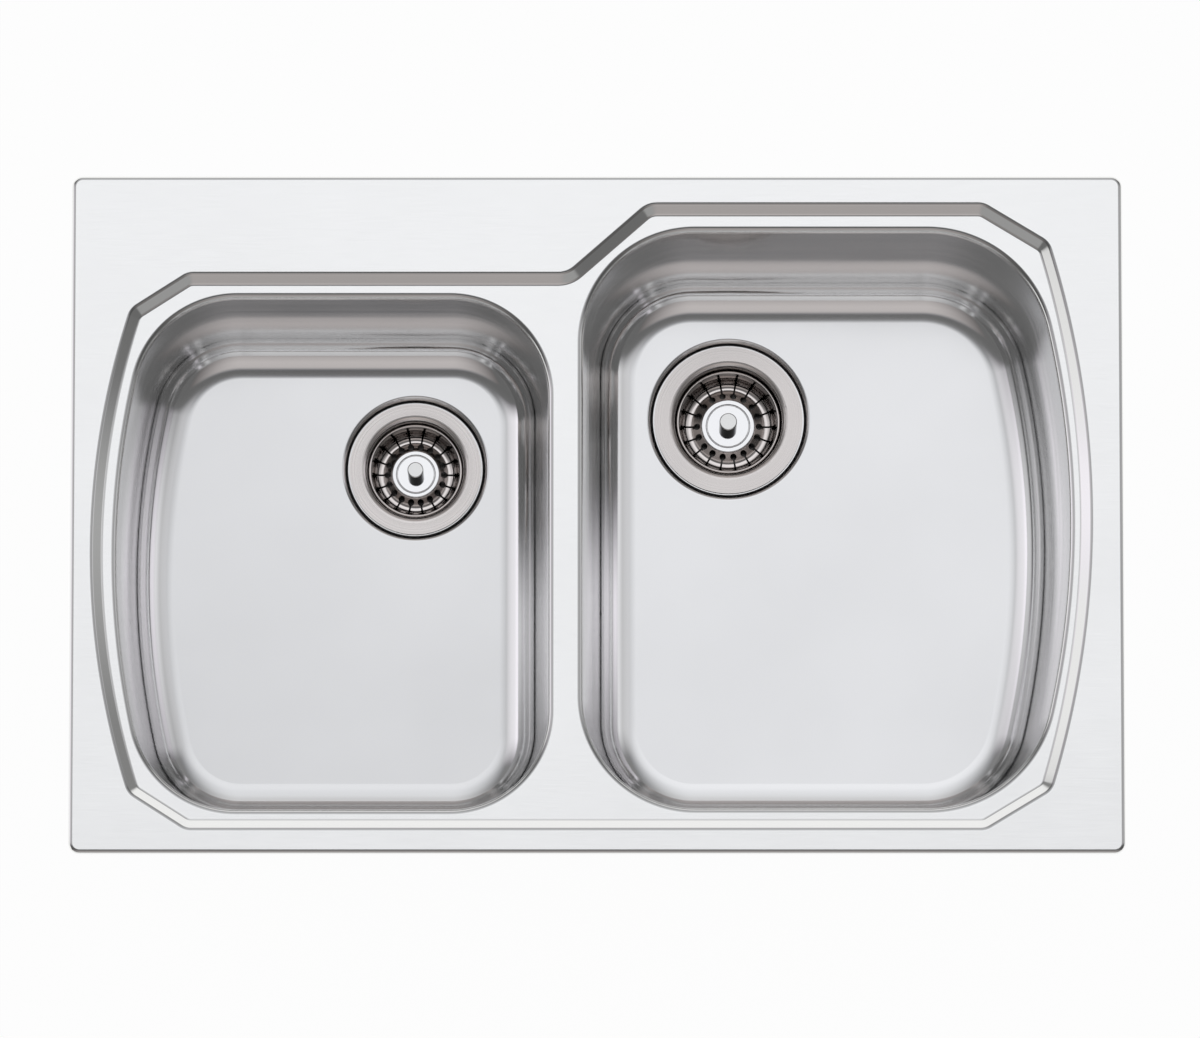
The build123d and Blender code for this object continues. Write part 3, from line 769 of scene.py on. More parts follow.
@dataclass(frozen=True)
class DullFinish:
    """A rubber, plastic or felt-like surface with a fine texture and cloudy colour."""

    name: str
    slot: str
    colour: Colour
    roughness: float
    texture_pitch: float
    texture_depth: float
    tint: float = 0.12
    specular: float = 0.4
    spread: float = 0.08
    strength: float = 0.6
    cloud_noise: tuple[float, float, float] = (45.0, 4.0, 0.6)

    def make(self) -> bpy.types.Material:
        """Builds the material.

        Returns:
            The material, ready to be given to a piece.
        """
        material = bpy.data.materials.new(self.name)
        sketch = NodeSketch(material)
        place = sketch.place()
        clouds = sketch.noise(place, *self.cloud_noise)
        texture = sketch.noise(place, 1.0 / self.texture_pitch)
        levels = (self.roughness - self.spread, self.roughness + self.spread)
        shader = sketch.add(
            "ShaderNodeBsdfPrincipled",
            Specular_IOR_Level=self.specular,
            Base_Color=sketch.cloudy(clouds, self.colour, self.tint),
            Roughness=sketch.ranged(texture, NOISE_ENDS, levels),
            Normal=sketch.relief(texture, self.strength, self.texture_depth),
        )
        sketch.cover(shader)
        return material


Finish = MetalFinish | DullFinish
MATERIALS: dict[str, bpy.types.Material] = {}

DECK_STEEL = PressedFinish(
    "deck_steel", "deck_steel", (0.885, 0.885, 0.875), roughness=0.10, spread=0.02,
    grain=Grain.ALONG_LENGTH, line_pitch=0.35 * MM, line_depth=0.0004 * MM, tint=0.006, level_haze=0.06,
)
# The left bowl's steel is a little darker than the right's, and its level floor darker still: painted shade.
LEFT_BOWL_STEEL = MetalFinish(
    "left_bowl_steel", "bowl_steel", (0.82, 0.82, 0.82), roughness=0.11, spread=0.03,
    grain=Grain.LEVEL, line_pitch=9.0 * MM, line_depth=0.006 * MM, tint=0.02,
    level_haze=0.07, level_painted_shade=0.06, mouth=(-190.0 * MM, -28.0 * MM, 500.0 * MM),
)
RIGHT_BOWL_STEEL = MetalFinish(
    "right_bowl_steel", "bowl_steel", (0.84, 0.84, 0.84), roughness=0.11, spread=0.03,
    grain=Grain.LEVEL, line_pitch=9.0 * MM, line_depth=0.006 * MM, tint=0.02,
    level_haze=0.07, level_painted_shade=0.01, mouth=(150.0 * MM, -3.0 * MM, 500.0 * MM),
)
STRAINER_STEEL = MetalFinish(
    "strainer_steel", "strainer_steel", (0.66, 0.635, 0.62), roughness=0.25, spread=0.04,
    grain=Grain.NONE, line_pitch=0.5 * MM, line_depth=0.002 * MM,
)
POLISHED_STEEL = MetalFinish(
    "polished_steel", "polished_steel", (0.82, 0.82, 0.83), roughness=0.06, spread=0.02,
    grain=Grain.NONE, line_pitch=1.5 * MM, line_depth=0.0005 * MM, tint=0.015,
)
ZINC_STEEL = MetalFinish(
    "zinc_steel", "zinc_steel", (0.62, 0.63, 0.65), roughness=0.36, spread=0.08,
    grain=Grain.NONE, line_pitch=1.2 * MM, line_depth=0.004 * MM, tint=0.08,
)
INSERT_BRASS = MetalFinish(
    "insert_brass", "insert_brass", (0.72, 0.55, 0.26), roughness=0.28, spread=0.05,
    grain=Grain.NONE, line_pitch=0.6 * MM, line_depth=0.003 * MM, tint=0.05,
)
SEAL_RUBBER = DullFinish(
    "seal_rubber", "seal_rubber", (0.045, 0.045, 0.047), roughness=0.72,
    texture_pitch=0.5 * MM, texture_depth=0.03 * MM,
)
SOUND_PAD = DullFinish(
    "sound_pad", "sound_pad", (0.16, 0.16, 0.165), roughness=0.85,
    texture_pitch=0.8 * MM, texture_depth=0.12 * MM, tint=0.2, specular=0.25,
)
WASTE_PLASTIC = DullFinish(
    "waste_plastic", "waste_plastic", (0.78, 0.78, 0.765), roughness=0.46,
    texture_pitch=0.35 * MM, texture_depth=0.02 * MM, tint=0.02,
)


def dress(name: str, finish: str) -> None:
    """Gives a CAD node, which keeps its shape, a finish.

    Args:
        name: The node.
        finish: Name of the finish or of its slot.
    """
    materials = frame["nodes"][name].data.materials
    materials.clear()
    materials.append(MATERIALS[finish])
    LOG.info("%s is dressed in %s", name, finish)


def put(piece: bpy.types.Object, finish: Finish, body: str, *nodes: str) -> None:
    """Dresses a new piece, sets it on its body and lets it stand for its nodes.

    Args:
        piece: The new piece.
        finish: Its finish.
        body: Body that it rides on.
        nodes: Nodes that it stands for.
    """
    piece.data.materials.append(MATERIALS[finish.name])
    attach(piece, body)
    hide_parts(*nodes)
    LOG.info("%s rides on %s", piece.name, body)


@dataclass
class BowlShape:
    """Plan outline, depth and waste place of one bowl, in metres."""

    name: str
    inner: float
    outer: float
    bulge: float
    front: float
    back: float
    inner_corner: float
    outer_corner: float
    floor: float
    waste_x: float
    waste_y: float
    flange: float
    hole: float
    rim_end: float
    sheet: float = 1.0 * MM
    taper: float = radians(5.0)
    floor_radius: float = 26.0 * MM
    flange_drop: float = 3.4 * MM
    recess_depth: float = 5.6 * MM
    recess_clearance: float = 1.3 * MM
    recess_taper: float = radians(30.0)
    recess_brow: float = 2.2 * MM
    recess_foot: float = 0.9 * MM
    floor_margin: float = 1.0 * MM

    def outline(self) -> Outline:
        """Draws the outline of the bowl's opening.

        Returns:
            The outline.
        """
        outward = 1 if self.outer > self.inner else -1
        inner = (self.inner, self.inner_corner)
        outer = (self.outer - outward * self.bulge, self.outer_corner)
        (left, left_round), (right, right_round) = sorted((inner, outer))
        return Outline(
            [
                Corner(left, self.front, left_round),
                Corner(right, self.front, right_round, self.bulge if outward > 0 else 0.0),
                Corner(right, self.back, right_round),
                Corner(left, self.back, left_round, self.bulge if outward < 0 else 0.0),
            ]
        )

    def build(self) -> bpy.types.Object:
        """Builds the drawn bowl with its recess and hole.

        Returns:
            The bowl's mesh object.
        """
        drop = self.rim_end - self.floor
        foot = -drop * tan(self.taper)
        wall = [
            (0.0, self.rim_end, 0.0),
            (foot, self.floor, self.floor_radius),
            (foot - self.floor_radius - self.floor_margin, self.floor, 0.0),
        ]
        low = self.flange + self.recess_clearance
        high = low + self.recess_depth * tan(self.recess_taper)
        recess = [
            (high + self.recess_brow + self.floor_margin, self.floor, 0.0),
            (high, self.floor, self.recess_brow),
            (low, self.floor - self.recess_depth, self.recess_foot),
            (self.hole, self.floor - self.recess_depth, 0.0),
        ]
        mesh = PieceMesh(f"{self.name}_bowl_shell")
        plan = self.outline()
        circle = RoundOutline(self.waste_x, self.waste_y)
        ends = []
        for distance in (0.0, self.sheet):
            walls = mesh.face(plan, wall, distance)
            rings = mesh.face(circle, recess, distance)
            mesh.fill(walls[-1], rings[0])
            ends.append((walls[0], rings[-1]))
        for first, second in zip(*ends):
            mesh.bridge(first, second)
        return mesh.build()


@dataclass
class PressedDeck:
    """The deck's sheet: turned-down edge, step, ledge and rolled bowl rims, in metres."""

    length: float
    width: float
    top: float
    bowls: list[BowlShape]
    sheet: float = 1.0 * MM
    lip: float = 0.4 * MM
    corner: float = 8.0 * MM
    edge_radius: float = 3.0 * MM
    step_depth: float = 6.0 * MM
    step_run: float = 7.4 * MM
    brow_radius: float = 4.0 * MM
    foot_radius: float = 3.0 * MM
    step_corner: float = 14.0 * MM
    diagonal_radius: float = 18.0 * MM
    front_margin: float = 18.1 * MM
    right_margin: float = 23.7 * MM
    right_back_margin: float = 20.7 * MM
    right_bulge: float = 30.4 * MM
    right_chamfer: Pair = (47.6 * MM, 28.8 * MM)
    left_margin: float = 15.7 * MM
    left_back_margin: float = 72.3 * MM
    left_bulge: float = 28.1 * MM
    left_chamfer: Pair = (41.5 * MM, 26.6 * MM)
    diagonal_start: float = 37.3 * MM
    diagonal_run: float = 58.9 * MM
    rim_radius: float = 4.2 * MM
    flat_margin: float = 2.0 * MM
    ledge_margin: float = 0.6 * MM

    def edge_outline(self) -> Outline:
        """Draws the deck's outer outline.

        Returns:
            The outline.
        """
        x, y = self.length / 2, self.width / 2
        signs = ((-1, -1), (1, -1), (1, 1), (-1, 1))
        return Outline([Corner(across * x, along * y, self.corner) for across, along in signs])

    def step_outline(self) -> Outline:
        """Draws the outline of the step's brow.

        Returns:
            The outline.
        """
        front = self.front_margin - self.width / 2
        right_back = self.width / 2 - self.right_back_margin
        left_back = self.width / 2 - self.left_back_margin
        right = self.length / 2 - self.right_margin - self.right_bulge
        left = self.left_margin + self.left_bulge - self.length / 2
        right_run, right_rise = self.right_chamfer
        left_run, left_rise = self.left_chamfer
        round_ = self.step_corner
        return Outline(
            [
                Corner(left + left_run, front, round_),
                Corner(right - right_run, front, round_),
                Corner(right, front + right_rise, round_, self.right_bulge),
                Corner(right, right_back - right_rise, round_),
                Corner(right - right_run, right_back, round_),
                Corner(self.diagonal_start, right_back, self.diagonal_radius),
                Corner(self.diagonal_start - self.diagonal_run, left_back, self.diagonal_radius),
                Corner(left + left_run, left_back, round_),
                Corner(left, left_back - left_rise, round_, self.left_bulge),
                Corner(left, front + left_rise, round_),
            ]
        )

    def build(self) -> bpy.types.Object:
        """Builds the pressed sheet with both faces.

        Returns:
            The deck's mesh object.
        """
        ledge = self.top - self.step_depth
        edge = [
            (0.0, self.lip, 0.0),
            (0.0, self.top, self.edge_radius),
            (-self.edge_radius - self.flat_margin, self.top, 0.0),
        ]
        step = [
            (self.brow_radius, self.top, 0.0),
            (0.0, self.top, self.brow_radius),
            (-self.step_run, ledge, self.foot_radius),
            (-self.step_run - self.foot_radius / 2 - self.ledge_margin / 2, ledge, 0.0),
        ]
        mesh = PieceMesh("deck_sheet")
        plans = [bowl.outline() for bowl in self.bowls]
        ends = []
        for distance in (0.0, self.sheet):
            edges = mesh.face(self.edge_outline(), edge, distance)
            steps = mesh.face(self.step_outline(), step, distance)
            rims = []
            for plan, bowl in zip(plans, self.bowls):
                rim = [
                    (self.rim_radius + self.ledge_margin, ledge, 0.0),
                    (0.0, ledge, self.rim_radius),
                    (0.0, bowl.rim_end, 0.0),
                ]
                rims.append(mesh.face(plan, rim, distance))
            mesh.fill(edges[-1], steps[0])
            mesh.fill(steps[-1], *(rim[0] for rim in rims))
            ends.append([edges[0]] + [rim[-1] for rim in rims])
        for first, second in zip(*ends):
            mesh.bridge(first, second)
        return mesh.build()


@dataclass
class Strainer:
    """One waste and its lift-out basket, whose metal is turned and polished about the waste's axis."""

    side: str
    x: float
    y: float
    seat: float
    flange_colour: Colour = (0.79, 0.75, 0.728)
    # Dark, as painted shade on the basket's walls.
    basket_shaded_colour: Colour = (0.47, 0.44, 0.425)
    knob_colour: Colour = (0.70, 0.70, 0.69)
    cap_colour: Colour = (0.84, 0.84, 0.845)
    # Painted shade: the pot darkens from these depths below its seat, and the knob's side just below its top
    # edge.
    shade_start: float = 5.5 * MM
    shade_end: float = 27.0 * MM
    pot_shade: float = 0.10
    knob_shade_start: float = 0.5 * MM
    knob_shade_end: float = 2.4 * MM
    knob_shade: float = 0.07
    knob_edge: float = 0.25

    def finishes(self) -> dict[str, MetalFinish]:
        """Makes up the finishes of its steel nodes.

        Returns:
            The finish of each node, by the node's name.
        """
        side = self.side
        knob_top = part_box(f"{side}_knob")[1].z
        turned = {"grain": Grain.TURNED, "axis": (self.x, self.y)}
        return {
            # Painted shade deep in the pot.
            f"{side}_strainer_pot": MetalFinish(
                f"{side}_pot_steel", "strainer_steel", self.flange_colour, roughness=0.26, spread=0.05,
                line_pitch=0.7 * MM, line_depth=0.0015 * MM, tint=0.02, depth_shade=self.pot_shade,
                depth_ends=(self.seat - self.shade_start, self.seat - self.shade_end), **turned,
            ),
            # The basket's walls carry painted shade in their dark colour, and its level faces a painted
            # highlight, 1.6 times as light.
            f"{side}_basket": MetalFinish(
                f"{side}_basket_steel", "strainer_steel", self.basket_shaded_colour, roughness=0.10, spread=0.03,
                line_pitch=0.8 * MM, line_depth=0.001 * MM, tint=0.02,
                level_painted_shade=-0.6, level_start=0.72, **turned,
            ),
            f"{side}_basket_cap": MetalFinish(
                f"{side}_cap_steel", "polished_steel", self.cap_colour, roughness=0.045, spread=0.012,
                line_pitch=0.5 * MM, line_depth=0.0003 * MM, tint=0.012, **turned,
            ),
            # Painted shade on the knob's side, nearly black below its top edge.
            f"{side}_knob": MetalFinish(
                f"{side}_knob_steel", "polished_steel", self.knob_colour, roughness=0.10, spread=0.03,
                line_pitch=0.5 * MM, line_depth=0.0003 * MM, tint=0.012, depth_shade=self.knob_shade,
                depth_ends=(knob_top - self.knob_shade_start, knob_top - self.knob_shade_end),
                edge=self.knob_edge, **turned,
            ),
        }

    def dress(self) -> None:
        """Gives the CAD nodes of the strainer their turned finishes."""
        for name, finish in self.finishes().items():
            MATERIALS[finish.name] = finish.make()
            dress(name, finish.name)


@dataclass(frozen=True)
class Thread:
    """A helical ridge cut into a round shank between two heights, which runs out at both ends."""

    crest: float
    root: float
    pitch: float
    low: float
    high: float
    steps: int = 8
    flank: float = 1.7
    trough: float = 0.35

    def radius(self, angle: float, height: float) -> float:
        """Gives the shank's radius at a place on the thread.

        Args:
            angle: Direction from the axis, in radians.
            height: Height of the place.

        Returns:
            The radius, between root and crest.
        """
        turn = (height / self.pitch - angle / (2 * pi)) % 1.0
        ridge = min(1.0, max(0.0, self.flank * (1.0 - abs(2.0 * turn - 1.0)) - self.trough))
        run_out = max(0.0, min(1.0, (height - self.low) / self.pitch, (self.high - height) / self.pitch))
        return self.crest - (self.crest - self.root) * run_out * (1.0 - ridge)

    def rings(self, outline: RoundOutline) -> list[list[Vector]]:
        """Gives the rings of the thread from its low end to its high end.

        Args:
            outline: Circle about the axis.

        Returns:
            Points of each ring.
        """
        count = ceil((self.high - self.low) / self.pitch * self.steps)
        found = []
        for step in range(count + 1):
            height = self.low + (self.high - self.low) * step / count
            ring = []
            for x, y, nx, ny in outline.points:
                reach = self.radius(atan2(ny, nx), height)
                ring.append(Vector((x + nx * reach, y + ny * reach, height)))
            found.append(ring)
        return found


class SlottedOutline(RoundOutline):
    """A circle whose points leave two gaps where a screwdriver slot runs out."""

    def __init__(self, x: float, y: float, slot_turn: float, half_slot: float, half_steps: int = 14) -> None:
        """Samples both halves of the circle.

        Args:
            x: Axis of the circle.
            y: Axis of the circle.
            slot_turn: Direction in which the slot runs, in radians.
            half_slot: Half the angle that the slot takes up at the rim.
            half_steps: How many steps each half has.
        """
        self.half_count = half_steps + 1
        sweep = pi - 2 * half_slot
        starts = (slot_turn + half_slot, slot_turn + pi + half_slot)
        angles = [start + sweep * step / half_steps for start in starts for step in range(self.half_count)]
        self.points = [(x, y, cos(a), sin(a)) for a in angles]


@dataclass
class ClipScrew:
    """A slotted clamp screw with a rolled thread; its claw turns between the head and a collar."""

    number: int
    shank: float = 2.4 * MM
    root: float = 1.95 * MM
    pitch: float = 1.0 * MM
    head: float = 4.6 * MM
    head_height: float = 3.2 * MM
    slot_width: float = 1.2 * MM
    slot_depth: float = 1.6 * MM
    claw_room: float = 1.9 * MM
    collar: float = 4.0 * MM
    collar_height: float = 1.0 * MM
    bevel: float = 0.35 * MM
    thread_steps: int = 6
    end_ratio: float = 1.2

    def build(self) -> bpy.types.Object:
        """Builds the screw where its CAD node is.

        Returns:
            The screw's mesh object.
        """
        low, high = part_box(f"clip_screw_{self.number}")
        middle = (low + high) / 2
        across = pi / 2 if abs(middle.x) > abs(middle.y) * self.end_ratio else 0.0
        outline = SlottedOutline(middle.x, middle.y, across, asin(self.slot_width / 2 / self.head))
        mesh = PieceMesh(f"clip_screw_{self.number}_threaded")
        bottom = mesh.ring(outline.ring(self.head, low.z))
        slot_floor = mesh.ring(outline.ring(self.head, low.z + self.slot_depth))
        self.cut_slot(mesh, outline.half_count, bottom, slot_floor)
        head_top = low.z + self.head_height
        collar_low = head_top + self.claw_room
        collar_top = collar_low + self.collar_height
        section = [
            (self.head, head_top - self.bevel),
            (self.head - self.bevel, head_top),
            (self.shank, head_top),
            (self.shank, collar_low),
            (self.collar - self.bevel, collar_low),
            (self.collar, collar_low + self.bevel),
            (self.collar, collar_top - self.bevel),
            (self.collar - self.bevel, collar_top),
            (self.shank, collar_top),
        ]
        rings = [slot_floor] + [mesh.ring(outline.ring(*spot)) for spot in section]
        start, stop = collar_top + self.bevel, high.z - self.bevel
        thread = Thread(self.shank, self.root, self.pitch, start, stop, self.thread_steps)
        rings += [mesh.ring(points) for points in thread.rings(outline)]
        rings.append(mesh.ring(outline.ring(self.shank - self.bevel, high.z)))
        mesh.loft(rings)
        mesh.bm.faces.new(rings[-1])
        return mesh.build()

    @staticmethod
    def cut_slot(mesh: PieceMesh, half: int, bottom: Ring, floor: Ring) -> None:
        """Closes the head's lower face round its slot.

        Args:
            mesh: Mesh of the screw.
            half: How many points each half of the head has.
            bottom: Ring at the head's lower face.
            floor: Ring at the slot's floor.
        """
        for start in (0, half):
            for i in range(start, start + half - 1):
                mesh.bm.faces.new((bottom[i], bottom[i + 1], floor[i + 1], floor[i]))
            last = start + half - 1
            mesh.bm.faces.new(bottom[start:start + half])
            mesh.bm.faces.new((bottom[last], bottom[start], floor[start], floor[last]))
        mesh.bm.faces.new((floor[0], floor[half - 1], floor[half], floor[-1]))


@dataclass
class WasteBody:
    """The moulded body under one bowl: ribbed flange, funnel, threaded outlet and spoked boss."""

    side: str
    x: float
    y: float
    bore: float
    rim: float
    boss_top: float
    wall: float = 2.5 * MM
    flange: float = 3.5 * MM
    funnel: float = 14.0 * MM
    outlet: float = 23.9 * MM
    outlet_wall: float = 2.9 * MM
    outlet_length: float = 25.0 * MM
    thread_root: float = 22.55 * MM
    thread_pitch: float = 2.309 * MM
    thread_start: float = 1.4 * MM
    thread_stop: float = 2.4 * MM
    rib_count: int = 8
    rib_thickness: float = 2.5 * MM
    rib_height: float = 22.0 * MM
    rib_inset: float = 1.0 * MM
    rib_turn: float = 0.5
    boss: float = 11.5 * MM
    boss_bore: float = 9.05 * MM
    boss_length: float = 18.0 * MM
    spoke_count: int = 4
    spoke_thickness: float = 3.0 * MM
    spoke_height: float = 9.0 * MM
    round_: float = 0.7 * MM
    segments: int = 112

    def build(self) -> bpy.types.Object:
        """Builds the body where its CAD node is.

        Returns:
            The body's mesh object.
        """
        low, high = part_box(f"{self.side}_waste_body")
        mesh = PieceMesh(f"{self.side}_waste_moulding")
        circle = RoundOutline(self.x, self.y, self.segments)
        self.add_shell(mesh, circle, low.z, high.z)
        under = high.z - self.flange
        inner = self.bore + self.wall / 2
        outer = self.rim - self.rib_inset
        rib = [
            (inner, under + self.round_), (outer, under + self.round_),
            (outer, under), (inner, under - self.rib_height),
        ]
        for turn in range(self.rib_count):
            self.add_plate(mesh, (turn + self.rib_turn) * 2 * pi / self.rib_count, self.rib_thickness, rib)
        top, bottom = self.boss_top, self.boss_top - self.boss_length
        tube = [(self.boss_bore, top), (self.boss, top), (self.boss, bottom), (self.boss_bore, bottom)]
        mesh.turned(circle, rounded_path([(r, z, self.round_) for r, z in tube], closed=True))
        near = (self.boss + self.boss_bore) / 2
        foot = top - self.spoke_height
        spoke = [(near, top), (inner, top), (inner, foot), (near, foot)]
        for turn in range(self.spoke_count):
            self.add_plate(mesh, turn * 2 * pi / self.spoke_count, self.spoke_thickness, spoke)
        return mesh.build()

    def add_shell(self, mesh: PieceMesh, circle: RoundOutline, low: float, high: float) -> None:
        """Turns the body's wall, with its thread cut into the outlet.

        Args:
            mesh: Mesh of the body.
            circle: Circle about the waste's axis.
            low: Height of the outlet's end.
            high: Height of the flange's face.
        """
        start = low + self.outlet_length
        knee = start + self.funnel
        outer, hole = self.bore + self.wall, self.outlet - self.outlet_wall
        path = [
            (self.bore, high), (self.rim, high), (self.rim, high - self.flange), (outer, high - self.flange),
            (outer, knee), (self.outlet, start), (self.outlet, low), (hole, low), (hole, start),
            (self.bore, knee),
        ]
        section = rounded_path([(r, z, self.round_) for r, z in path], closed=True)
        first, last = low + self.thread_start, start - self.thread_stop
        thread = Thread(self.outlet, self.thread_root, self.thread_pitch, first, last)
        rings = []
        for (r, z), (_, after) in zip(section, section[1:] + section[:1]):
            rings.append(mesh.ring(circle.ring(r, z)))
            if z > thread.high and after < thread.low:
                rings += [mesh.ring(points) for points in reversed(thread.rings(circle))]
        mesh.loft(rings, closed=True)

    def add_plate(self, mesh: PieceMesh, turn: float, thickness: float, shape: list[Pair]) -> None:
        """Stands one flat plate on a plane through the waste's axis.

        Args:
            mesh: Mesh of the body.
            turn: Direction of the plate, in radians.
            thickness: Its thickness.
            shape: Distance from the axis and height of its corners.
        """
        faces = []
        for side in (-thickness / 2, thickness / 2):
            x, y = self.x - side * sin(turn), self.y + side * cos(turn)
            faces.append(mesh.ring([Vector((x + r * cos(turn), y + r * sin(turn), z)) for r, z in shape]))
        mesh.bridge(*faces)
        mesh.bm.faces.new(faces[0])
        mesh.bm.faces.new(faces[1])


@dataclass
class Studio:
    """White floor, painted sky and the camera."""

    floor_height: float
    floor_size: float = 14.0
    floor_paint: Colour = (0.9, 0.9, 0.9)
    floor_glow: float = 0.97
    target: tuple[float, float, float] = (2.2 * MM, -4.1 * MM, 5.0 * MM)
    distance: float = 9.0
    elevation: float = radians(81.9)
    view_width: float = 876.7 * MM
    sensor: float = 36.0
    clip_end: float = 100.0
    dim_levels: Pair = (0.15, 0.24)
    dim_ends: Pair = (-0.30, 0.30)
    strip_ends: Pair = (0.95, -0.05)
    cross_front: Pair = (-0.22, 0.12)
    cross_back: Pair = (0.66, 0.10)
    low_glows: tuple[LowGlow, ...] = (
        ("Y", (0.55, 0.80), (0.26, 0.14), 0.97),
        ("Y", (-0.60, -0.74), (0.50, 0.36), 0.34),
        ("X", (-0.80, -0.92), (0.38, 0.26), 0.90),
    )
    sky_front_to_back: tuple[RampStop, ...] = (
        (-90.0, (0.26, 0.25, 0.25)), (-70.0, (0.38, 0.355, 0.35)), (-62.0, (0.51, 0.478, 0.472)),
        (-45.0, (0.60, 0.563, 0.555)), (-28.0, (0.575, 0.54, 0.533)), (-23.0, (0.40, 0.39, 0.39)),
        (-19.0, (0.15, 0.15, 0.168)), (-14.0, (0.11, 0.11, 0.127)), (-2.0, (0.13, 0.13, 0.148)),
        (2.0, (0.45, 0.455, 0.47)), (5.0, (0.95, 0.96, 0.99)), (7.0, (1.05, 1.06, 1.09)),
        (20.0, (1.04, 1.05, 1.08)), (30.0, (0.94, 0.95, 0.98)), (45.0, (0.85, 0.86, 0.88)),
        (60.0, (0.72, 0.72, 0.73)), (75.0, (0.86, 0.86, 0.87)), (90.0, (0.97, 0.97, 0.98)),
    )
    sky_left_to_right: tuple[RampStop, ...] = (
        (-90.0, (0.93, 0.905, 0.95)), (-72.0, (1.02, 0.985, 1.05)), (-60.0, (1.17, 1.13, 1.20)),
        (-50.0, (0.97, 0.95, 0.99)), (-30.0, (0.86, 0.85, 0.88)), (-22.0, (0.68, 0.68, 0.70)),
        (-14.0, (0.30, 0.30, 0.31)), (0.0, (0.10, 0.10, 0.11)), (8.0, (0.25, 0.25, 0.26)),
        (15.0, (0.70, 0.70, 0.72)), (25.0, (0.75, 0.75, 0.77)), (45.0, (0.63, 0.63, 0.64)),
        (58.0, (0.87, 0.87, 0.89)), (66.0, (0.80, 0.80, 0.82)), (76.0, (0.38, 0.38, 0.38)),
        (90.0, (0.30, 0.30, 0.30)),
    )

    def build(self) -> None:
        """Builds the floor, the world and the camera."""
        self.build_floor()
        self.build_world()
        self.build_camera()
        bpy.context.scene.view_settings.view_transform = "Standard"

    def build_floor(self) -> None:
        """Lays the white floor, which keeps a faint shadow of the sink."""
        half = self.floor_size / 2
        mesh = bpy.data.meshes.new("floor")
        spots = [(-half, -half), (half, -half), (half, half), (-half, half)]
        mesh.from_pydata([(x, y, self.floor_height) for x, y in spots], [], [(0, 1, 2, 3)])
        floor = bpy.data.objects.new("floor", mesh)
        bpy.context.scene.collection.objects.link(floor)
        material = bpy.data.materials.new("floor_white")
        sketch = NodeSketch(material)
        path = sketch.add("ShaderNodeLightPath").outputs
        seen = sketch.math("MAXIMUM", path["Is Camera Ray"], path["Is Glossy Ray"])
        share = sketch.ranged(seen, (0.0, 1.0), (0.0, self.floor_glow))
        paint = sketch.add("ShaderNodeBsdfDiffuse", Color=(*self.floor_paint, 1.0))
        glow = sketch.add("ShaderNodeEmission", Color=WHITE, Strength=1.0)
        sketch.cover(sketch.add("ShaderNodeMixShader", share, paint.outputs[0], glow.outputs[0]))
        mesh.materials.append(material)

    def build_world(self) -> None:
        """Paints the sky: one ramp from front to back, one across, a dim rest and glows near the horizon."""
        world = bpy.data.worlds.new("studio")
        bpy.context.scene.world = world
        sketch = NodeSketch(world)
        way = sketch.parts(sketch.add("ShaderNodeTexCoord").outputs["Generated"])
        fore = self.leaning(sketch, way, "Y", self.sky_front_to_back)
        strip = sketch.ranged(sketch.math("ABSOLUTE", way["X"]), self.strip_ends, smooth=True)
        fore = sketch.blend(Blend.MULTIPLY, fore, strip)
        across = self.leaning(sketch, way, "X", self.sky_left_to_right)
        for ends in (self.cross_front, self.cross_back):
            across = sketch.blend(Blend.MULTIPLY, across, sketch.ranged(way["Y"], ends, smooth=True))
        glow = sketch.blend(Blend.LIGHTEN, fore, across)
        dim = sketch.ranged(way["Y"], self.dim_ends, self.dim_levels, smooth=True)
        glow = sketch.blend(Blend.LIGHTEN, glow, dim)
        for axis, ends, heights, level in self.low_glows:
            low = sketch.ranged(way["Z"], heights, smooth=True)
            band = sketch.ranged(way[axis], ends, (0.0, level), smooth=True)
            glow = sketch.blend(Blend.LIGHTEN, glow, sketch.blend(Blend.MULTIPLY, low, band))
        seen = sketch.add("ShaderNodeLightPath").outputs["Is Camera Ray"]
        shown = sketch.blend(Blend.MIX, glow, WHITE, seen)
        sketch.cover(sketch.add("ShaderNodeBackground", Color=shown, Strength=1.0))

    @staticmethod
    def leaning(sketch: NodeSketch, way: Sockets, axis: str, stops: tuple[RampStop, ...]) -> Socket:
        """Colours a direction by how far it leans from straight up along one axis.

        Args:
            sketch: Tree of the world.
            way: The direction's three parts.
            axis: Axis along which the lean is measured.
            stops: Degrees of lean and the colour at each.

        Returns:
            The colour.
        """
        lean = sketch.ranged(sketch.math("ARCTAN2", way[axis], way["Z"]), (-pi / 2, pi / 2))
        shares = [((angle + RIGHT_ANGLE) / (2 * RIGHT_ANGLE), colour) for angle, colour in stops]
        return sketch.ramp(lean, shares)

    def build_camera(self) -> None:
        """Stands the camera almost straight above, tilted from the front."""
        lens = bpy.data.cameras.new("camera")
        lens.sensor_fit = "HORIZONTAL"
        lens.sensor_width = self.sensor
        lens.lens = self.sensor * self.distance / self.view_width
        lens.clip_end = self.clip_end
        camera = bpy.data.objects.new("camera", lens)
        away = Vector((0.0, -cos(self.elevation), sin(self.elevation)))
        camera.location = Vector(self.target) + away * self.distance
        camera.rotation_euler = (-away).to_track_quat("-Z", "Y").to_euler()
        bpy.context.scene.collection.objects.link(camera)
        bpy.context.scene.camera = camera


def dress_nodes() -> None:
    """Gives every shown CAD node the finish of its slot."""
    for row in frame["record"]["subparts"]:
        dress(row["node"], row["material_slot"])


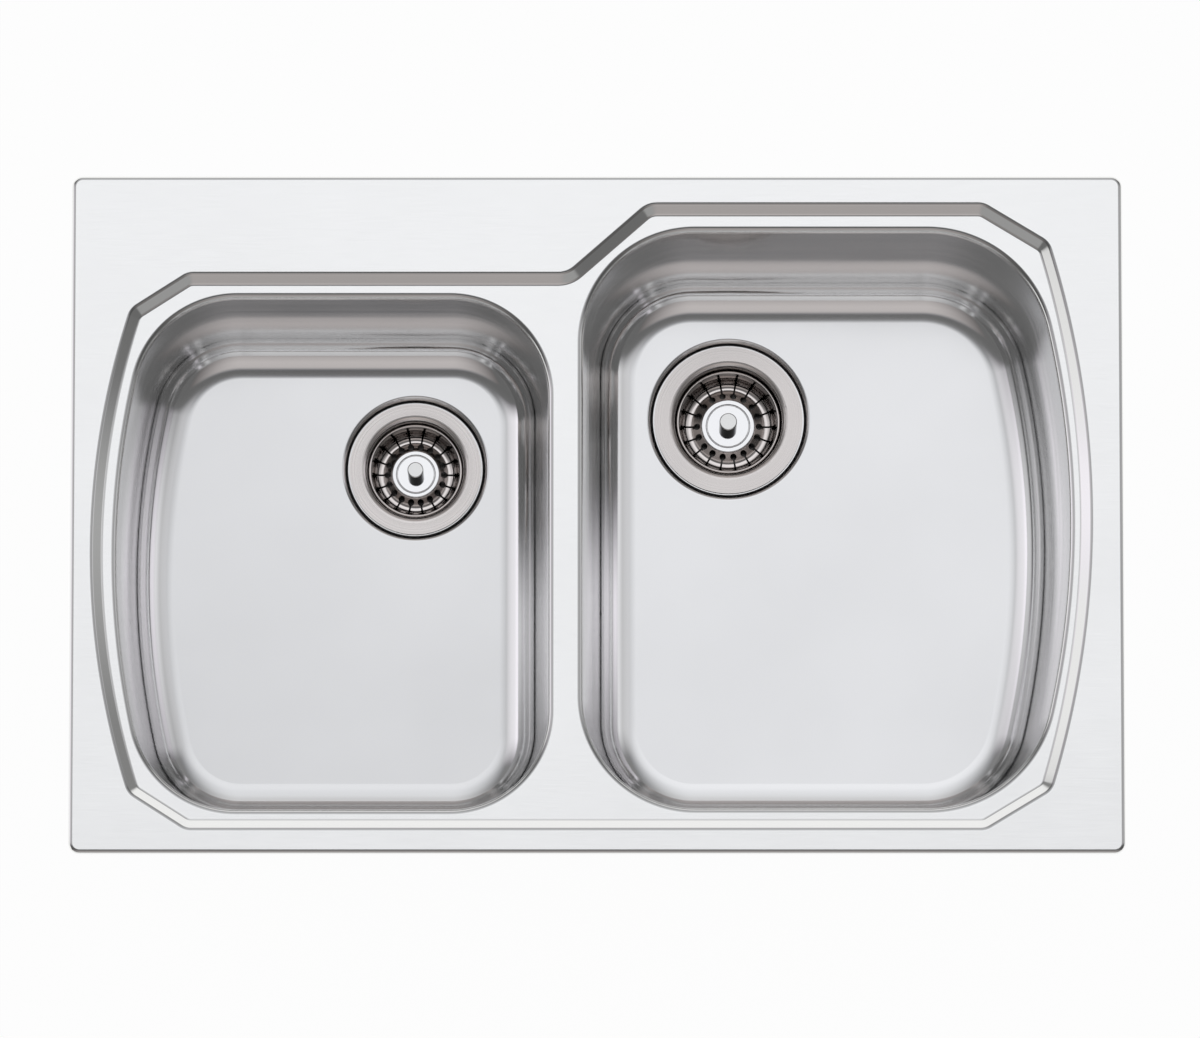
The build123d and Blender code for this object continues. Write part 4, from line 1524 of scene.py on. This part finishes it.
def main() -> None:
    """Builds the finishes, the sheet-metal shells, the dressing of the other nodes and the studio."""
    logging.basicConfig(level=logging.INFO)
    finishes: list[Finish] = [
        DECK_STEEL, LEFT_BOWL_STEEL, RIGHT_BOWL_STEEL, STRAINER_STEEL, POLISHED_STEEL, ZINC_STEEL,
        INSERT_BRASS, SEAL_RUBBER, SOUND_PAD, WASTE_PLASTIC,
    ]
    for finish in finishes:
        MATERIALS[finish.name] = finish.make()
        MATERIALS.setdefault(finish.slot, MATERIALS[finish.name])
    low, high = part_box("deck")
    right = BowlShape(
        "right", inner=-10.2 * MM, outer=345.6 * MM, bulge=36.0 * MM, front=-215.7 * MM, back=209.4 * MM,
        inner_corner=82.0 * MM, outer_corner=90.0 * MM, floor=-180.0 * MM, waste_x=98.1 * MM,
        waste_y=97.3 * MM, flange=55.3 * MM, hole=45.0 * MM, rim_end=low.z,
    )
    left = BowlShape(
        "left", inner=-35.8 * MM, outer=-351.0 * MM, bulge=30.2 * MM, front=-216.7 * MM, back=160.0 * MM,
        inner_corner=72.0 * MM, outer_corner=75.0 * MM, floor=-150.0 * MM, waste_x=-135.2 * MM,
        waste_y=55.9 * MM, flange=49.0 * MM, hole=40.7 * MM, rim_end=low.z,
    )
    wastes = [
        WasteBody("left", left.waste_x, left.waste_y, bore=39.7 * MM, rim=51.2 * MM, boss_top=-196.9 * MM),
        WasteBody("right", right.waste_x, right.waste_y, bore=44.0 * MM, rim=55.5 * MM, boss_top=-230.9 * MM),
    ]
    deck = PressedDeck(high.x - low.x, high.y - low.y, high.z, [left, right])
    dress_nodes()
    for bowl in (left, right):
        Strainer(bowl.name, bowl.waste_x, bowl.waste_y, bowl.floor - bowl.flange_drop).dress()
    put(deck.build(), DECK_STEEL, "sink", "deck")
    put(left.build(), LEFT_BOWL_STEEL, "sink", "left_bowl")
    put(right.build(), RIGHT_BOWL_STEEL, "sink", "right_bowl")
    for waste in wastes:
        put(waste.build(), WASTE_PLASTIC, "sink", f"{waste.side}_waste_body")
    for number in range(1, CLIP_COUNT + 1):
        put(ClipScrew(number).build(), ZINC_STEEL, f"clip_screw_{number}", f"clip_screw_{number}")
    Studio(floor_height=cad_box[0][2] - FLOOR_GAP).build()


if __name__ == "__main__":
    main()
